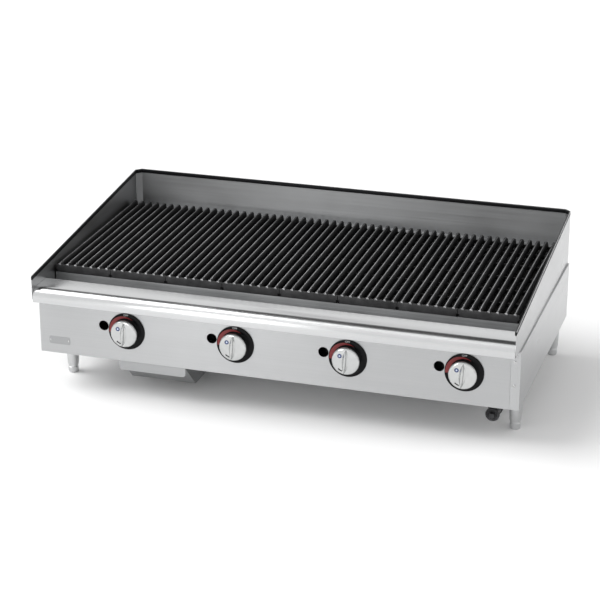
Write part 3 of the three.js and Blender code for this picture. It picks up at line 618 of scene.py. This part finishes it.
def sweep(bm, section, path, level):
    """Carries a section of (across, up) points along a plan path, with mitred corners."""
    rings = []
    for i, point in enumerate(path):
        here = Vector(point)
        before = (here - Vector(path[i - 1])).normalized() if i > 0 else None
        after = (Vector(path[i + 1]) - here).normalized() if i < len(path) - 1 else None
        direction = (before or after) + (after or before)
        direction.normalize()
        stretch = 1 / direction.dot(before or after)
        side = Vector((direction.y, -direction.x)) * stretch
        points = [(here.x + side.x * a, here.y + side.y * a, level + b) for a, b in section]
        rings.append([bm.verts.new(point) for point in points])
    loft(bm, rings)


# ---- grates ----------------------------------------------

GRATE_TILT = math.radians(1)
GRATE_HEIGHT = 24 * MM
RIBS = 7
RIB_BASE = 13 * MM
RIB_RIDGE = 1.5 * MM
REAR_RIDGE = 6 * MM  # the ridge broadens into a round end at the rear
REAR_FADE = 90 * MM  # over this length the ridge's painted brightness, partly scuffed metal and partly a painted highlight, fades out
RIB_RISE = 14 * MM
RIB_BELLY = 4 * MM
BAR = 7 * MM
REAR_BAR = 6 * MM
TIES = 5
TIE_WIDTH = 9 * MM
RIB_FLANK = (  # (height, spread) of a rounded flank, as fractions of the rib
    (0, 1.0), (0.35, 0.9), (0.65, 0.68), (0.88, 0.36), (0.97, 0.0),
)
RIB_FOOT = 0.36  # half the width of a rib's foot, as a fraction of its base
RIB_STEPS = 24
RIDGE_WEAR_AND_HIGHLIGHT = {5: 0.2, 6: 1.0, 7: 1.0, 8: 0.2}  # how bright each point of the section is painted: partly scuffed metal, partly a painted highlight
GROOVE = (14 * MM, 20 * MM)  # where a notch across the ribs starts and ends
GROOVE_SLOPE = 1 * MM
GROOVE_DEPTH = 3.2 * MM
TIP_WIDTH = 7 * MM
TIP_STATIONS = (  # (distance from the front, height fraction, ridge width) of a rib's front tip
    (0.4 * MM, 0.84, TIP_WIDTH), (1.2 * MM, 0.88, TIP_WIDTH), (2.2 * MM, 0.90, RIB_RIDGE),
)
END_STEPS = 6
END_DROP = 0.35  # how far the round rear end falls, as a fraction of the rib's rise
END_BASE = 1.6 * MM
END_RIDGE = 0.8 * MM
END_GAP = 1 * MM
FRONT_BAR_DROP = 5 * MM  # from the ribs' ridges down to the top of the front bar
# How bright the front bar is painted: partly scuffed metal, partly a painted highlight.
FRONT_BAR_WEAR_AND_HIGHLIGHT = 0.09
REAR_GAP = 5 * MM
SIDE_BAR = 5 * MM
SIDE_BAR_DROP = 1 * MM
TIE_INSET = 1 * MM
TIE_BELOW = 7 * MM  # how far a tie reaches below and above the ribs' feet
TIE_ABOVE = 2.5 * MM
BAR_ROUNDING = 1.1 * MM
GRATE_PLAY = 0.4 * MM


def rib_stations(length):
    """(y, height fraction, base width, ridge width) along a rib, from its front tip to its rounded rear."""
    low, high = GROOVE
    dip = 1 - GROOVE_DEPTH / RIB_RISE
    tip = [(y, fraction, RIB_BASE, ridge) for y, fraction, ridge in TIP_STATIONS]
    notch = ((low, 1.0), (low + GROOVE_SLOPE, dip), (high - GROOVE_SLOPE, dip), (high, 1.0))
    groove = [(y, fraction, RIB_BASE, RIB_RIDGE) for y, fraction in notch]
    rear_start = length - RIB_BASE / 2 - END_GAP
    body = []
    for i in range(1, RIB_STEPS):
        body.append((high + (rear_start - high) * i / RIB_STEPS, 1.0, RIB_BASE, RIB_RIDGE))
    body.append((rear_start - REAR_RIDGE * 2, 1.0, RIB_BASE, REAR_RIDGE / 2))
    rear = []
    for i in range(END_STEPS + 1):
        angle = math.radians(90 / END_STEPS * i)
        rear.append((
            rear_start + RIB_BASE / 2 * math.sin(angle),
            1 - END_DROP * (1 - math.cos(angle)),
            max(RIB_BASE * math.cos(angle), END_BASE),
            max(REAR_RIDGE * math.cos(angle), END_RIDGE),
        ))
    return tip + groove + body + rear


def rib_section(fraction, base, ridge):
    """(x, z) points of a rib from its left foot over its ridge to its right foot."""
    foot = GRATE_HEIGHT - RIB_RISE
    top = foot + RIB_RISE * fraction
    rise = top - foot
    left = [(-base * RIB_FOOT, foot - RIB_BELLY)]
    for height, share in RIB_FLANK:
        left.append((-(ridge / 2 + (base - ridge) / 2 * share), foot + rise * height))
    left.append((-ridge / 4, top))
    return left + [(-x, z) for x, z in reversed(left)]


def add_rib(bm, wear_and_highlight, x, length):
    """One rib at x; its painted brightness, partly scuffed metal and partly a painted highlight, goes into
    the marking layer and fades out towards the rear.
    """
    rings = []
    for y, fraction, base, ridge in rib_stations(length):
        ring = []
        # Each ridge point is painted bright, partly as scuffed metal and partly as a painted highlight.
        rubbed_and_highlit = min(1.0, (length - y) / REAR_FADE)
        for i, (dx, z) in enumerate(rib_section(fraction, base, ridge)):
            vertex = bm.verts.new((x + dx, y, z))
            vertex[wear_and_highlight] = RIDGE_WEAR_AND_HIGHLIGHT.get(i, 0.0) * rubbed_and_highlit
            ring.append(vertex)
        rings.append(ring)
    loft(bm, rings)


def add_bar(bm, wear_and_highlight, low, high, worn_and_highlit=0.0):
    """A cast bar with rounded edges, evenly painted brighter by the given share, partly as scuffed metal and
    partly as a painted highlight.
    """
    solid = bmesh.new()
    block(solid, low, high)
    edges = list(solid.edges)
    bmesh.ops.bevel(solid, geom=edges, offset=BAR_ROUNDING, segments=2, affect="EDGES", profile=0.6)
    temporary = mesh_from(solid, "bar")
    count = len(bm.verts)
    bm.from_mesh(temporary)
    bpy.data.meshes.remove(temporary)
    bm.verts.ensure_lookup_table()
    for vertex in bm.verts[count:]:
        vertex[wear_and_highlight] = worn_and_highlit


def grate_mesh(width, length, pitch):
    """One cast grate in its own frame: X centred, Y from its front face, Z from its underside."""
    bm = bmesh.new()
    wear_and_highlight = bm.verts.layers.float.new("wear_and_highlight")
    half = width / 2
    foot = GRATE_HEIGHT - RIB_RISE
    rear = length - REAR_GAP
    for i in range(RIBS):
        add_rib(bm, wear_and_highlight, (i - (RIBS - 1) / 2) * pitch, length)
    # The front bar is painted a little brighter, partly as scuffed metal and partly as a painted highlight.
    add_bar(bm, wear_and_highlight, (-half, 0, 0), (half, BAR, GRATE_HEIGHT - FRONT_BAR_DROP), FRONT_BAR_WEAR_AND_HIGHLIGHT)
    add_bar(bm, wear_and_highlight, (-half, rear - REAR_BAR, 0), (half, rear, foot))
    for row in range(1, TIES + 1):
        y = row * length / (TIES + 1)
        tie_low = (-half + TIE_INSET, y, foot - TIE_BELOW)
        tie_high = (half - TIE_INSET, y + TIE_WIDTH, foot + TIE_ABOVE)
        add_bar(bm, wear_and_highlight, tie_low, tie_high)
    for side in (-1, 1):
        left, right = sorted((side * (half - SIDE_BAR), side * half))
        add_bar(bm, wear_and_highlight, (left, 0, 0), (right, rear, foot - SIDE_BAR_DROP))
    return mesh_from(bm, "grate", smooth_angle=42)


def grates():
    """Eight copies of one casting, tilted so that the grease runs to the front."""
    low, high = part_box("grate_1")
    length = (high.y - low.y) / math.cos(GRATE_TILT)
    pitch = (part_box("grate_2")[0].x - low.x) / RIBS
    mesh = grate_mesh(high.x - low.x, length - GRATE_PLAY, pitch)
    for index in GRATES:
        low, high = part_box(f"grate_{index}")
        copy = mesh.copy()
        front = low.y + GRATE_HEIGHT * math.sin(GRATE_TILT)
        seat = Matrix.Translation(((low.x + high.x) / 2, front, low.z))
        copy.transform(seat @ Matrix.Rotation(GRATE_TILT, 4, "X"))
        name = f"grate_{index}"
        piece(f"{name}_casting", copy, GRATE_IRON, f"{name}_body", "grate_iron", name)


# ---- controls --------------------------------------------

def ring_sector(bm, centre, y, inner, outer, start, end, thickness, steps=36):
    """A flat curved band on a face that looks forward; outer gives its radius for a fraction 0 to 1."""
    inside, outside = [], []
    for i in range(steps + 1):
        t = i / steps
        angle = math.radians(start + (end - start) * t)
        for points, radius in ((inside, inner), (outside, outer(t))):
            points.append((centre.x + radius * math.cos(angle), centre.z + radius * math.sin(angle)))
    prism(bm, outside + list(reversed(inside)), inward, y - thickness, y)


BEZEL_ROUNDING = 1.2 * MM
BEZEL_STEPS = 5
SAME_PLACE = 1e-6  # vertices closer than this are one
INK = 0.12 * MM
INK_SUNK = 0.02 * MM  # ink is pressed this far into the face
HEAT_INNER = 35 * MM
HEAT_WIDTH = 10.6 * MM
HEAT_SPAN = (60, 186)  # degrees, counted from the right
TURNED_STEPS = 96


def bezel(index):
    """A black disc with a hole for the shaft, a red arc that widens to the left, and OFF at its top."""
    name = f"bezel_{index}"
    low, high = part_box(name)
    centre = (low + high) / 2
    radius = (high.x - low.x) / 2
    depth = high.y - low.y
    profile = [(SHAFT_HOLE, 0), (radius, 0)]
    profile += arc(radius - BEZEL_ROUNDING, depth - BEZEL_ROUNDING, BEZEL_ROUNDING, 0, 90, BEZEL_STEPS)
    profile += [(SHAFT_HOLE, depth), (SHAFT_HOLE, 0)]
    bm = bmesh.new()
    lathe(bm, profile, (centre.x, high.y, centre.z), FRONT, steps=TURNED_STEPS)
    bmesh.ops.remove_doubles(bm, verts=bm.verts, dist=SAME_PLACE)
    piece(f"{name}_disc", mesh_from(bm, f"{name}_disc", smooth_angle=40), BLACK, ROOT, "bezel_black", name)
    face = low.y + INK_SUNK

    def outer(t):
        return HEAT_INNER + HEAT_WIDTH * math.sin(t * math.pi / 2)

    ink = bmesh.new()
    ring_sector(ink, centre, face, HEAT_INNER, outer, *HEAT_SPAN, INK)
    piece(f"{name}_heat_arc", mesh_from(ink, f"{name}_heat_arc"), RED_INK, ROOT, "bezel_black")
    off_mark(index, centre, radius, face)


OFF_SIZE = 7.2 * MM
OFF_RELIEF = 0.05 * MM
OFF_MARGIN = 4.6 * MM


def off_mark(index, centre, radius, face):
    """The generic word OFF at the top of the dial."""
    curve = bpy.data.curves.new("off", "FONT")
    curve.body = "OFF"
    curve.size = OFF_SIZE
    curve.extrude = OFF_RELIEF
    curve.align_x = "CENTER"
    curve.align_y = "CENTER"
    text = bpy.data.objects.new("off", curve)
    bpy.context.scene.collection.objects.link(text)
    evaluated = text.evaluated_get(bpy.context.evaluated_depsgraph_get())
    mesh = bpy.data.meshes.new_from_object(evaluated)
    bpy.data.objects.remove(text)
    stand = Matrix.Rotation(math.radians(90), 4, "X")
    mesh.transform(Matrix.Translation((centre.x, face, centre.z + radius - OFF_MARGIN)) @ stand)
    piece(f"bezel_{index}_off_mark", mesh, WHITE_INK, ROOT, "bezel_black")


KNOB_FACE_RADIUS = 29 * MM
KNOB_NECK_RADIUS = 30 * MM
KNOB_NECK = 3 * MM
KNOB_FACE_DEPTH = 20.5 * MM
KNOB_EDGE_DEPTH = 15 * MM
KNOB_CROWN = ((0.6, 0.3 * MM), (0, 0.4 * MM))  # (share of the radius, rise) of the slightly domed face
KNOB_CURVE_STEPS = 6
KNOB_TILT = math.radians(4)
GRIP_WIDTH = 18 * MM
GRIP_MARGIN = 4 * MM  # from the knob's edge to the grip's ends
GRIP_ROOT = 2 * MM  # the grip starts this far under the face
GRIP_TIP = 0.3 * MM
GRIP_ROUNDING = 0.8  # below 1 the outline is fuller near its ends
GRIP_LEVELS = (  # how far up the grip, its length and its width there, as fractions
    (0, 1.0, 1.0), (0.25, 1.0, 0.84), (0.4, 0.99, 0.60), (0.55, 0.98, 0.42), (0.75, 0.97, 0.30),
    (0.92, 0.95, 0.24), (1.0, 0.92, 0.10),
)
MARK_SUNK = 0.15 * MM
MARK_THICKNESS = 0.4 * MM
LOW_BAND = (5 * MM, 2.2 * MM)  # from the face's edge to the mark's inner and outer side
LOW_SPAN = (232, 258)
PILOT_SPOT = Vector((-14.5 * MM, 0, 12.5 * MM))
PILOT_RADII = (2.2 * MM, 5.4 * MM)
PILOT_SPAN = (0, 359.9)
PAD_THICKNESS = 0.35 * MM


def knob_profile(radius):
    """(radius, height) of the turned shell: a neck, a flare to the widest edge, and a nearly flat face."""
    profile = [(0, 0), (KNOB_NECK_RADIUS, 0), (KNOB_NECK_RADIUS, KNOB_NECK)]
    steps = [i / KNOB_CURVE_STEPS for i in range(1, KNOB_CURVE_STEPS + 1)]
    for t in steps:
        flare = math.sin(t * math.pi / 2)
        height = KNOB_NECK + (KNOB_EDGE_DEPTH - KNOB_NECK) * t
        profile.append((KNOB_NECK_RADIUS + (radius - KNOB_NECK_RADIUS) * flare, height))
    for t in steps:
        angle = t * math.pi / 2
        height = KNOB_EDGE_DEPTH + (KNOB_FACE_DEPTH - KNOB_EDGE_DEPTH) * math.sin(angle)
        profile.append((KNOB_FACE_RADIUS + (radius - KNOB_FACE_RADIUS) * math.cos(angle), height))
    return profile + [(KNOB_FACE_RADIUS * share, KNOB_FACE_DEPTH + rise) for share, rise in KNOB_CROWN]


def lens(half_length, half_width, steps=14):
    """A closed outline, pointed at its top and bottom and widest at its middle."""
    right = []
    for i in range(steps + 1):
        t = -1 + 2 * i / steps
        bulge = math.cos(t * math.pi / 2) ** GRIP_ROUNDING
        right.append((half_width * bulge + GRIP_TIP, half_length * t))
    left = [(-x, z) for x, z in reversed(right)]
    return right + left


def grip(bm, back, radius, crest):
    """The raised grip across the knob: pointed ends, hollow flanks and a narrow crest."""
    start = back - KNOB_FACE_DEPTH + GRIP_ROOT
    rings = []
    for rise, reach, share in GRIP_LEVELS:
        y = start + (crest - start) * rise
        outline = lens((radius - GRIP_MARGIN) * reach, GRIP_WIDTH / 2 * share)
        rings.append([bm.verts.new((x, y, z)) for x, z in outline])
    loft(bm, rings)


def band(bm, centre, face, inner, outer, span, steps=36):
    """A printed band of even width on the knob's face."""
    ring_sector(bm, centre, face, inner, lambda t: outer, *span, MARK_THICKNESS, steps)


def pilot_pad(bm, face):
    """The pale spot inside the pilot ring."""
    outline = circle(PILOT_SPOT.x, PILOT_SPOT.z, PILOT_RADII[0], 24)
    prism(bm, outline, inward, face - PAD_THICKNESS, face)


def pilot_mark(bm, face):
    """The blue pilot ring."""
    band(bm, PILOT_SPOT, face, *PILOT_RADII, PILOT_SPAN, steps=32)


def low_mark(bm, face):
    """A plain dark arc near the face's lower left edge."""
    inner, outer = (KNOB_FACE_RADIUS - margin for margin in LOW_BAND)
    band(bm, Vector(), face, inner, outer, LOW_SPAN)


KNOB_MARKS = (
    ("pilot_pad", PALE_INK, pilot_pad),
    ("pilot_mark", BLUE_INK, pilot_mark),
    ("low_mark", DARK_INK, low_mark),
)


def knob(index):
    """A turned chromium shell with a raised grip, and three marks that turn with it."""
    name = f"knob_{index}"
    body = f"{name}_body"
    low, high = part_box(name)
    centre = (low + high) / 2
    radius = (high.x - low.x) / 2
    turn = Matrix.Translation((centre.x, 0, centre.z)) @ Matrix.Rotation(KNOB_TILT, 4, "Y")
    bm = bmesh.new()
    lathe(bm, knob_profile(radius), (0, high.y, 0), FRONT, steps=TURNED_STEPS)
    grip(bm, high.y, radius, low.y)
    mesh = mesh_from(bm, f"{name}_shell", smooth_angle=38)
    mesh.transform(turn)
    piece(f"{name}_shell", mesh, CHROME, body, "knob_chrome", name)
    face = high.y - KNOB_FACE_DEPTH - MARK_SUNK
    for part, ink, shape in KNOB_MARKS:
        bm = bmesh.new()
        shape(bm, face)
        mesh = mesh_from(bm, f"{name}_{part}", smooth_angle=38)
        mesh.transform(turn)
        piece(f"{name}_{part}", mesh, ink, body, "knob_chrome")


# ---- legs and feet ---------------------------------------

LEG_SHOULDER = (  # (height above the leg's lower end, share of its full radius)
    (0, 0.74), (1 * MM, 0.77), (3.5 * MM, 0.80), (7 * MM, 0.84),
)


def middle_and_radius(low, high):
    """The plan centre and the radius of a round upright part's box."""
    return Vector(((low.x + high.x) / 2, (low.y + high.y) / 2, 0)), (high.x - low.x) / 2


def legs():
    """Four round legs that widen upward from a stepped lower end."""
    for corner in CORNERS:
        low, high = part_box(f"leg_{corner}")
        centre, radius = middle_and_radius(low, high)
        profile = [(0, low.z)]
        profile += [(radius * share, low.z + height) for height, share in LEG_SHOULDER]
        profile += [(radius, high.z), (0, high.z)]
        bm = bmesh.new()
        lathe(bm, profile, centre, UP)
        mesh = mesh_from(bm, "leg", smooth_angle=35)
        piece(f"leg_{corner}_tube", mesh, LEG_NICKEL, ROOT, "leg_nickel", f"leg_{corner}")


FOOT_FLUTES = 24
FLUTE_DEPTH = 0.5 * MM
FLUTED_FROM = 0.9  # the flutes start outside this share of the radius
FOOT_GAP = 0.5 * MM  # between a foot's collar and its leg
FOOT_TOE = (  # (height above the floor, share of the radius)
    (0, 0.8), (0.8 * MM, 0.92), (2.5 * MM, 0.97), (4 * MM, 1.0),
)
FOOT_NECK = (  # (depth under the collar, share of the radius)
    (4 * MM, 1.0), (3 * MM, 0.93), (1 * MM, 0.93),
)
COLLAR_INSET = 1.5 * MM
STUD = 5 * MM
STUD_TIP = 1 * MM


def foot_profile(radius, collar, top):
    """(radius, height) of a foot: a rounded toe, a fluted barrel, a neck and the stud above it."""
    profile = [(0, 0)]
    profile += [(radius * share, height) for height, share in FOOT_TOE]
    profile += [(radius * share, collar - depth) for depth, share in FOOT_NECK]
    profile += [(radius - COLLAR_INSET, collar), (STUD, collar)]
    return profile + [(STUD, top - STUD_TIP), (STUD - STUD_TIP, top), (0, top)]


def feet():
    """Four levelling feet with fluted barrels."""
    for corner in CORNERS:
        low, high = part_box(f"foot_{corner}")
        centre, radius = middle_and_radius(low, high)
        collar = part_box(f"leg_{corner}")[0].z - FOOT_GAP
        bm = bmesh.new()
        lathe(bm, foot_profile(radius, collar, high.z), centre, UP, steps=4 * FOOT_FLUTES)
        for vertex in bm.verts:
            offset = vertex.co.xy - centre.xy
            turn = math.atan2(offset.y, offset.x)
            if offset.length > radius * FLUTED_FROM:
                dip = FLUTE_DEPTH * (0.5 + 0.5 * math.cos(turn * FOOT_FLUTES))
                vertex.co.xy = centre.xy + offset * (1 - dip / offset.length)
        mesh = mesh_from(bm, "foot", smooth_angle=35)
        name = f"foot_{corner}"
        piece(f"{name}_turned", mesh, LEG_NICKEL, f"{name}_body", "foot_nickel", name)


# ---- pipe fittings and screws ----------------------------

PIPE_WALL = 3 * MM
PIPE_BORE_DEPTH = 40 * MM
TEE_BEAD = 2.2 * MM
TEE_RIM = 8 * MM
TEE_BORE = 11.4 * MM
TEE_BORE_DEPTH = 14 * MM
TEE_ROUNDING = 1.5 * MM
TEE_BRANCH_START = 2 * MM
PLUG_SQUARE = 6 * MM
PLUG_SQUARE_DEPTH = 12 * MM
PLUG_THREAD = (9 * MM, 21 * MM)  # where the plug's round part starts and ends
PLUG_EDGE = 0.8 * MM


def iron_piece(name, bm, node):
    """A black iron fitting."""
    return piece(name, mesh_from(bm, name, smooth_angle=35), PIPE_IRON, ROOT, "black_iron", node)


def gas_tee(low, high, axis):
    """A banded tee: an open run from front to rear, and a branch going up."""
    radius = (high.x - low.x) / 2
    depth = high.y - low.y
    soft = radius - TEE_ROUNDING
    waist = radius - TEE_BEAD
    run = [(0, TEE_BORE_DEPTH), (TEE_BORE, TEE_BORE_DEPTH), (TEE_BORE, 0), (soft, 0), (radius, TEE_ROUNDING)]
    run += [(radius, TEE_RIM), (waist, TEE_RIM + TEE_BEAD), (waist, depth - TEE_RIM - TEE_BEAD)]
    run += [(radius, depth - TEE_RIM), (radius, depth - TEE_ROUNDING), (soft, depth), (0, depth)]
    bm = bmesh.new()
    lathe(bm, run, (axis.x, low.y, axis.z), REAR)
    top = high.z - axis.z
    branch = [(0, TEE_BRANCH_START), (waist, TEE_BRANCH_START), (waist, top - TEE_RIM)]
    branch += [(radius, top - TEE_RIM + TEE_BEAD), (radius, top - TEE_ROUNDING), (soft, top), (0, top)]
    lathe(bm, branch, (axis.x, (low.y + high.y) / 2, axis.z), UP)
    iron_piece("gas_tee_casting", bm, "gas_tee")


def tee_plug(axis):
    """A plug with a square head, screwed into the tee's front."""
    low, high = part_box("tee_plug")
    radius = (high.x - low.x) / 2
    start, end = PLUG_THREAD
    bm = bmesh.new()
    lathe(bm, [(0, start), (radius, start), (radius, end), (0, end)], (axis.x, low.y, axis.z), REAR)
    square_low = (axis.x - PLUG_SQUARE, low.y, axis.z - PLUG_SQUARE)
    square_high = (axis.x + PLUG_SQUARE, low.y + PLUG_SQUARE_DEPTH, axis.z + PLUG_SQUARE)
    block(bm, square_low, square_high)
    bevel(iron_piece("tee_plug_casting", bm, "tee_plug"), PLUG_EDGE)


def supply_pipe(axis):
    """The gas pipe to the rear, open at its rear end."""
    low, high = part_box("supply_pipe")
    outer = (high.x - low.x) / 2
    inner = outer - PIPE_WALL
    length = high.y - low.y
    bottom = length - PIPE_BORE_DEPTH
    profile = [(0, 0), (outer, 0), (outer, length), (inner, length), (inner, bottom), (0, bottom)]
    bm = bmesh.new()
    lathe(bm, profile, (axis.x, low.y, axis.z), REAR)
    iron_piece("supply_pipe_tube", bm, "supply_pipe")


def gas_fittings():
    """The tee, its plug and the pipe, all on the tee's own axis."""
    low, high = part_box("gas_tee")
    axis = Vector(((low.x + high.x) / 2, 0, low.z + (high.x - low.x) / 2))
    gas_tee(low, high, axis)
    tee_plug(axis)
    supply_pipe(axis)


SCREW_RIM = 0.4 * MM
SCREW_DOME = (15, 30, 45, 60, 75)  # degrees up the domed head
SLOT_REACH = 2.6 * MM
SLOT_HALF_WIDTH = 0.5 * MM
SLOT_DEPTH = 1.1 * MM


def flange_screws():
    """Two domed screws with crossed slots in the right flange."""
    for level in ("lower", "upper"):
        name = f"flange_screw_{level}"
        low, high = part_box(name)
        centre = (low + high) / 2
        radius = (high.z - low.z) / 2
        rise = high.y - low.y - SCREW_RIM
        profile = [(0, 0), (radius, 0), (radius, SCREW_RIM)]
        for angle in map(math.radians, SCREW_DOME):
            profile.append((radius * math.cos(angle), SCREW_RIM + rise * math.sin(angle)))
        profile.append((0, high.y - low.y))
        bm = bmesh.new()
        lathe(bm, profile, (centre.x, high.y, centre.z), FRONT, steps=32)
        cutters = []
        for wide, tall in ((SLOT_REACH, SLOT_HALF_WIDTH), (SLOT_HALF_WIDTH, SLOT_REACH)):
            tool = bmesh.new()
            slot_low = (centre.x - wide, low.y - SHEET, centre.z - tall)
            slot_high = (centre.x + wide, low.y + SLOT_DEPTH, centre.z + tall)
            block(tool, slot_low, slot_high)
            cutters.append(mesh_from(tool, "slot"))
        mesh = carve(mesh_from(bm, name), cutters)
        piece(f"{name}_head", mesh, CHROME, ROOT, "screw_steel", name)


# ---- blank plate -----------------------------------------

PLATE_SIZE = (56 * MM, 20 * MM)
PLATE_CORNER = 4 * MM
PLATE_MARGIN = 24 * MM
PLATE_THICKNESS = 0.6 * MM
PLATE_EDGE = 0.15 * MM
PLATE_CORNER_STEPS = 8
RIVET_RADIUS = 1.8 * MM
RIVET_HEIGHT = 0.9 * MM
RIVET_DOME = (0, 30, 60)


def rounded_plate(bm, left, bottom, width, height, corner, back, front):
    """A plate with rounded corners, standing on a face that looks forward."""
    near, far = left + corner, left + width - corner
    low, high = bottom + corner, bottom + height - corner
    outline = []
    for x, z, start in ((far, high, 0), (near, high, 90), (near, low, 180), (far, low, 270)):
        outline += arc(x, z, corner, start, start + 90, PLATE_CORNER_STEPS)
    prism(bm, outline, inward, back, front)


def blank_plate():
    """A plain oblong plate with nothing on it, held by two rivets."""
    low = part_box("control_panel")[0]
    left, bottom, front = low.x + PLATE_MARGIN, low.z + PLATE_MARGIN, low.y
    width, height = PLATE_SIZE
    face = front - PLATE_THICKNESS
    bm = bmesh.new()
    rounded_plate(bm, left, bottom, width, height, PLATE_CORNER, front, face)
    plate = piece("blank_plate", mesh_from(bm, "blank_plate"), DRAWER_STEEL, ROOT, "body_stainless")
    bevel(plate, PLATE_EDGE)
    dome = [(0, 0)]
    for angle in map(math.radians, RIVET_DOME):
        dome.append((RIVET_RADIUS * math.cos(angle), RIVET_HEIGHT * math.sin(angle)))
    dome.append((0, RIVET_HEIGHT))
    rivets = bmesh.new()
    for x in (left + PLATE_CORNER, left + width - PLATE_CORNER):
        lathe(rivets, dome, (x, face, bottom + height / 2), FRONT, steps=24)
    mesh = mesh_from(rivets, "blank_plate_rivets", smooth_angle=40)
    piece("blank_plate_rivets", mesh, CHROME, ROOT, "body_stainless")


# ---- carried-over sheet metal and gas parts --------------

DRAWER_EDGE = 0.35 * MM
INNER_EDGE = 0.3 * MM
RADIANT_EDGE = 0.8 * MM
VALVE_EDGE = 0.5 * MM


def dress_cad():
    """The parts whose CAD shape is kept."""
    for node in ("side_panel_left", "side_panel_right"):
        dress(node, SIDE_STEEL, SHEET_EDGE)
    dress("rear_panel", REAR_STEEL, SHEET_EDGE)
    dress("grease_drawer", DRAWER_STEEL, DRAWER_EDGE)
    for node in ("base_pan", "drawer_rail_left", "drawer_rail_right"):
        dress(node, SHEET_GREY, INNER_EDGE)
    for node in ("firebox_front", "firebox_rear"):
        dress(node, FIREBOX_STEEL, INNER_EDGE)
    dress("gas_manifold", PIPE_IRON)
    for index in BURNERS:
        dress(f"radiant_{index}", RADIANT_IRON, RADIANT_EDGE)
        dress(f"burner_{index}", SHEET_GREY)
        dress(f"valve_{index}", BRASS, VALVE_EDGE)
        dress(f"valve_stem_{index}", BRASS)


# ---- room and light --------------------------------------

FLOOR_COLOR = (0.9, 0.9, 0.9)
FLOOR_SIZE = 30  # from its middle to its edges


def add_floor():
    """A plain pale matt floor."""
    bm = bmesh.new()
    corners = ((-1, -1), (1, -1), (1, 1), (-1, 1))
    bm.faces.new([bm.verts.new((x * FLOOR_SIZE, y * FLOOR_SIZE, 0)) for x, y in corners])
    material = new_material("floor", FLOOR_COLOR, metallic=0.0, roughness=0.95)[0]
    mesh = mesh_from(bm, "floor")
    mesh.materials.append(material)
    floor = bpy.data.objects.new("floor", mesh)
    bpy.context.scene.collection.objects.link(floor)


STUDIO_WHITE = 1.05
STUDIO_DARK = 0.08
DARK_TOWARDS = (0, 0.40, 0.92)  # the unlit part of the room: overhead, a little to the rear
DARK_EDGE = (math.cos(math.radians(36)), math.cos(math.radians(27)))  # where it starts, and where it is full
KEY_FROM = (-0.64, -0.18, 0.76)
KEY_STRENGTH = 1.9
KEY_WIDTH = math.radians(45)
SOFTBOX_PLACE = Vector((-0.75, -2.1, 0.7))
SOFTBOX_TARGET = Vector((0, 0.3, 0.3))
SOFTBOX_SIZE = (0.45, 0.9)
SOFTBOX_POWER = 5


def add_lamp(data, away):
    """Puts a light in the scene, shining away from a direction."""
    lamp = bpy.data.objects.new(data.name, data)
    bpy.context.scene.collection.objects.link(lamp)
    lamp.rotation_euler = Vector(away).to_track_quat("Z", "Y").to_euler()
    return lamp


def add_key():
    """One very wide, soft light from high on the left; its width keeps shadows soft."""
    data = bpy.data.lights.new("key", "SUN")
    data.energy = KEY_STRENGTH
    data.angle = KEY_WIDTH
    add_lamp(data, KEY_FROM)


def add_softbox():
    """A weak upright softbox in front, low on the left."""
    data = bpy.data.lights.new("front", "AREA")
    data.shape = "RECTANGLE"
    data.size, data.size_y = SOFTBOX_SIZE
    data.energy = SOFTBOX_POWER
    add_lamp(data, SOFTBOX_PLACE - SOFTBOX_TARGET).location = SOFTBOX_PLACE


def add_studio():
    """A white room with one unlit patch overhead."""
    world = bpy.data.worlds.new("studio")
    world.use_nodes = True
    tree = world.node_tree
    direction = tree.nodes.new("ShaderNodeTexCoord")
    towards = tree.nodes.new("ShaderNodeVectorMath")
    towards.operation = "DOT_PRODUCT"
    towards.inputs[1].default_value = DARK_TOWARDS
    tree.links.new(direction.outputs["Generated"], towards.inputs[0])
    strength = remap(tree, towards.outputs["Value"], STUDIO_WHITE, STUDIO_DARK, *DARK_EDGE)
    background = tree.nodes["Background"]
    background.inputs["Color"].default_value = (1, 1, 1, 1)
    tree.links.new(strength, background.inputs["Strength"])
    bpy.context.scene.world = world


def add_view_settings():
    """Colours are shown as they are, without a film curve."""
    bpy.context.scene.view_settings.view_transform = "Standard"


add_camera()
control_panel()
bull_nose()
side_splash(-1, "splash_left")
side_splash(1, "splash_right")
back_splash()
grates()
for number in BURNERS:
    bezel(number)
    knob(number)
blank_plate()
dress_cad()
legs()
feet()
gas_fittings()
flange_screws()
add_floor()
add_studio()
add_key()
add_softbox()
add_view_settings()
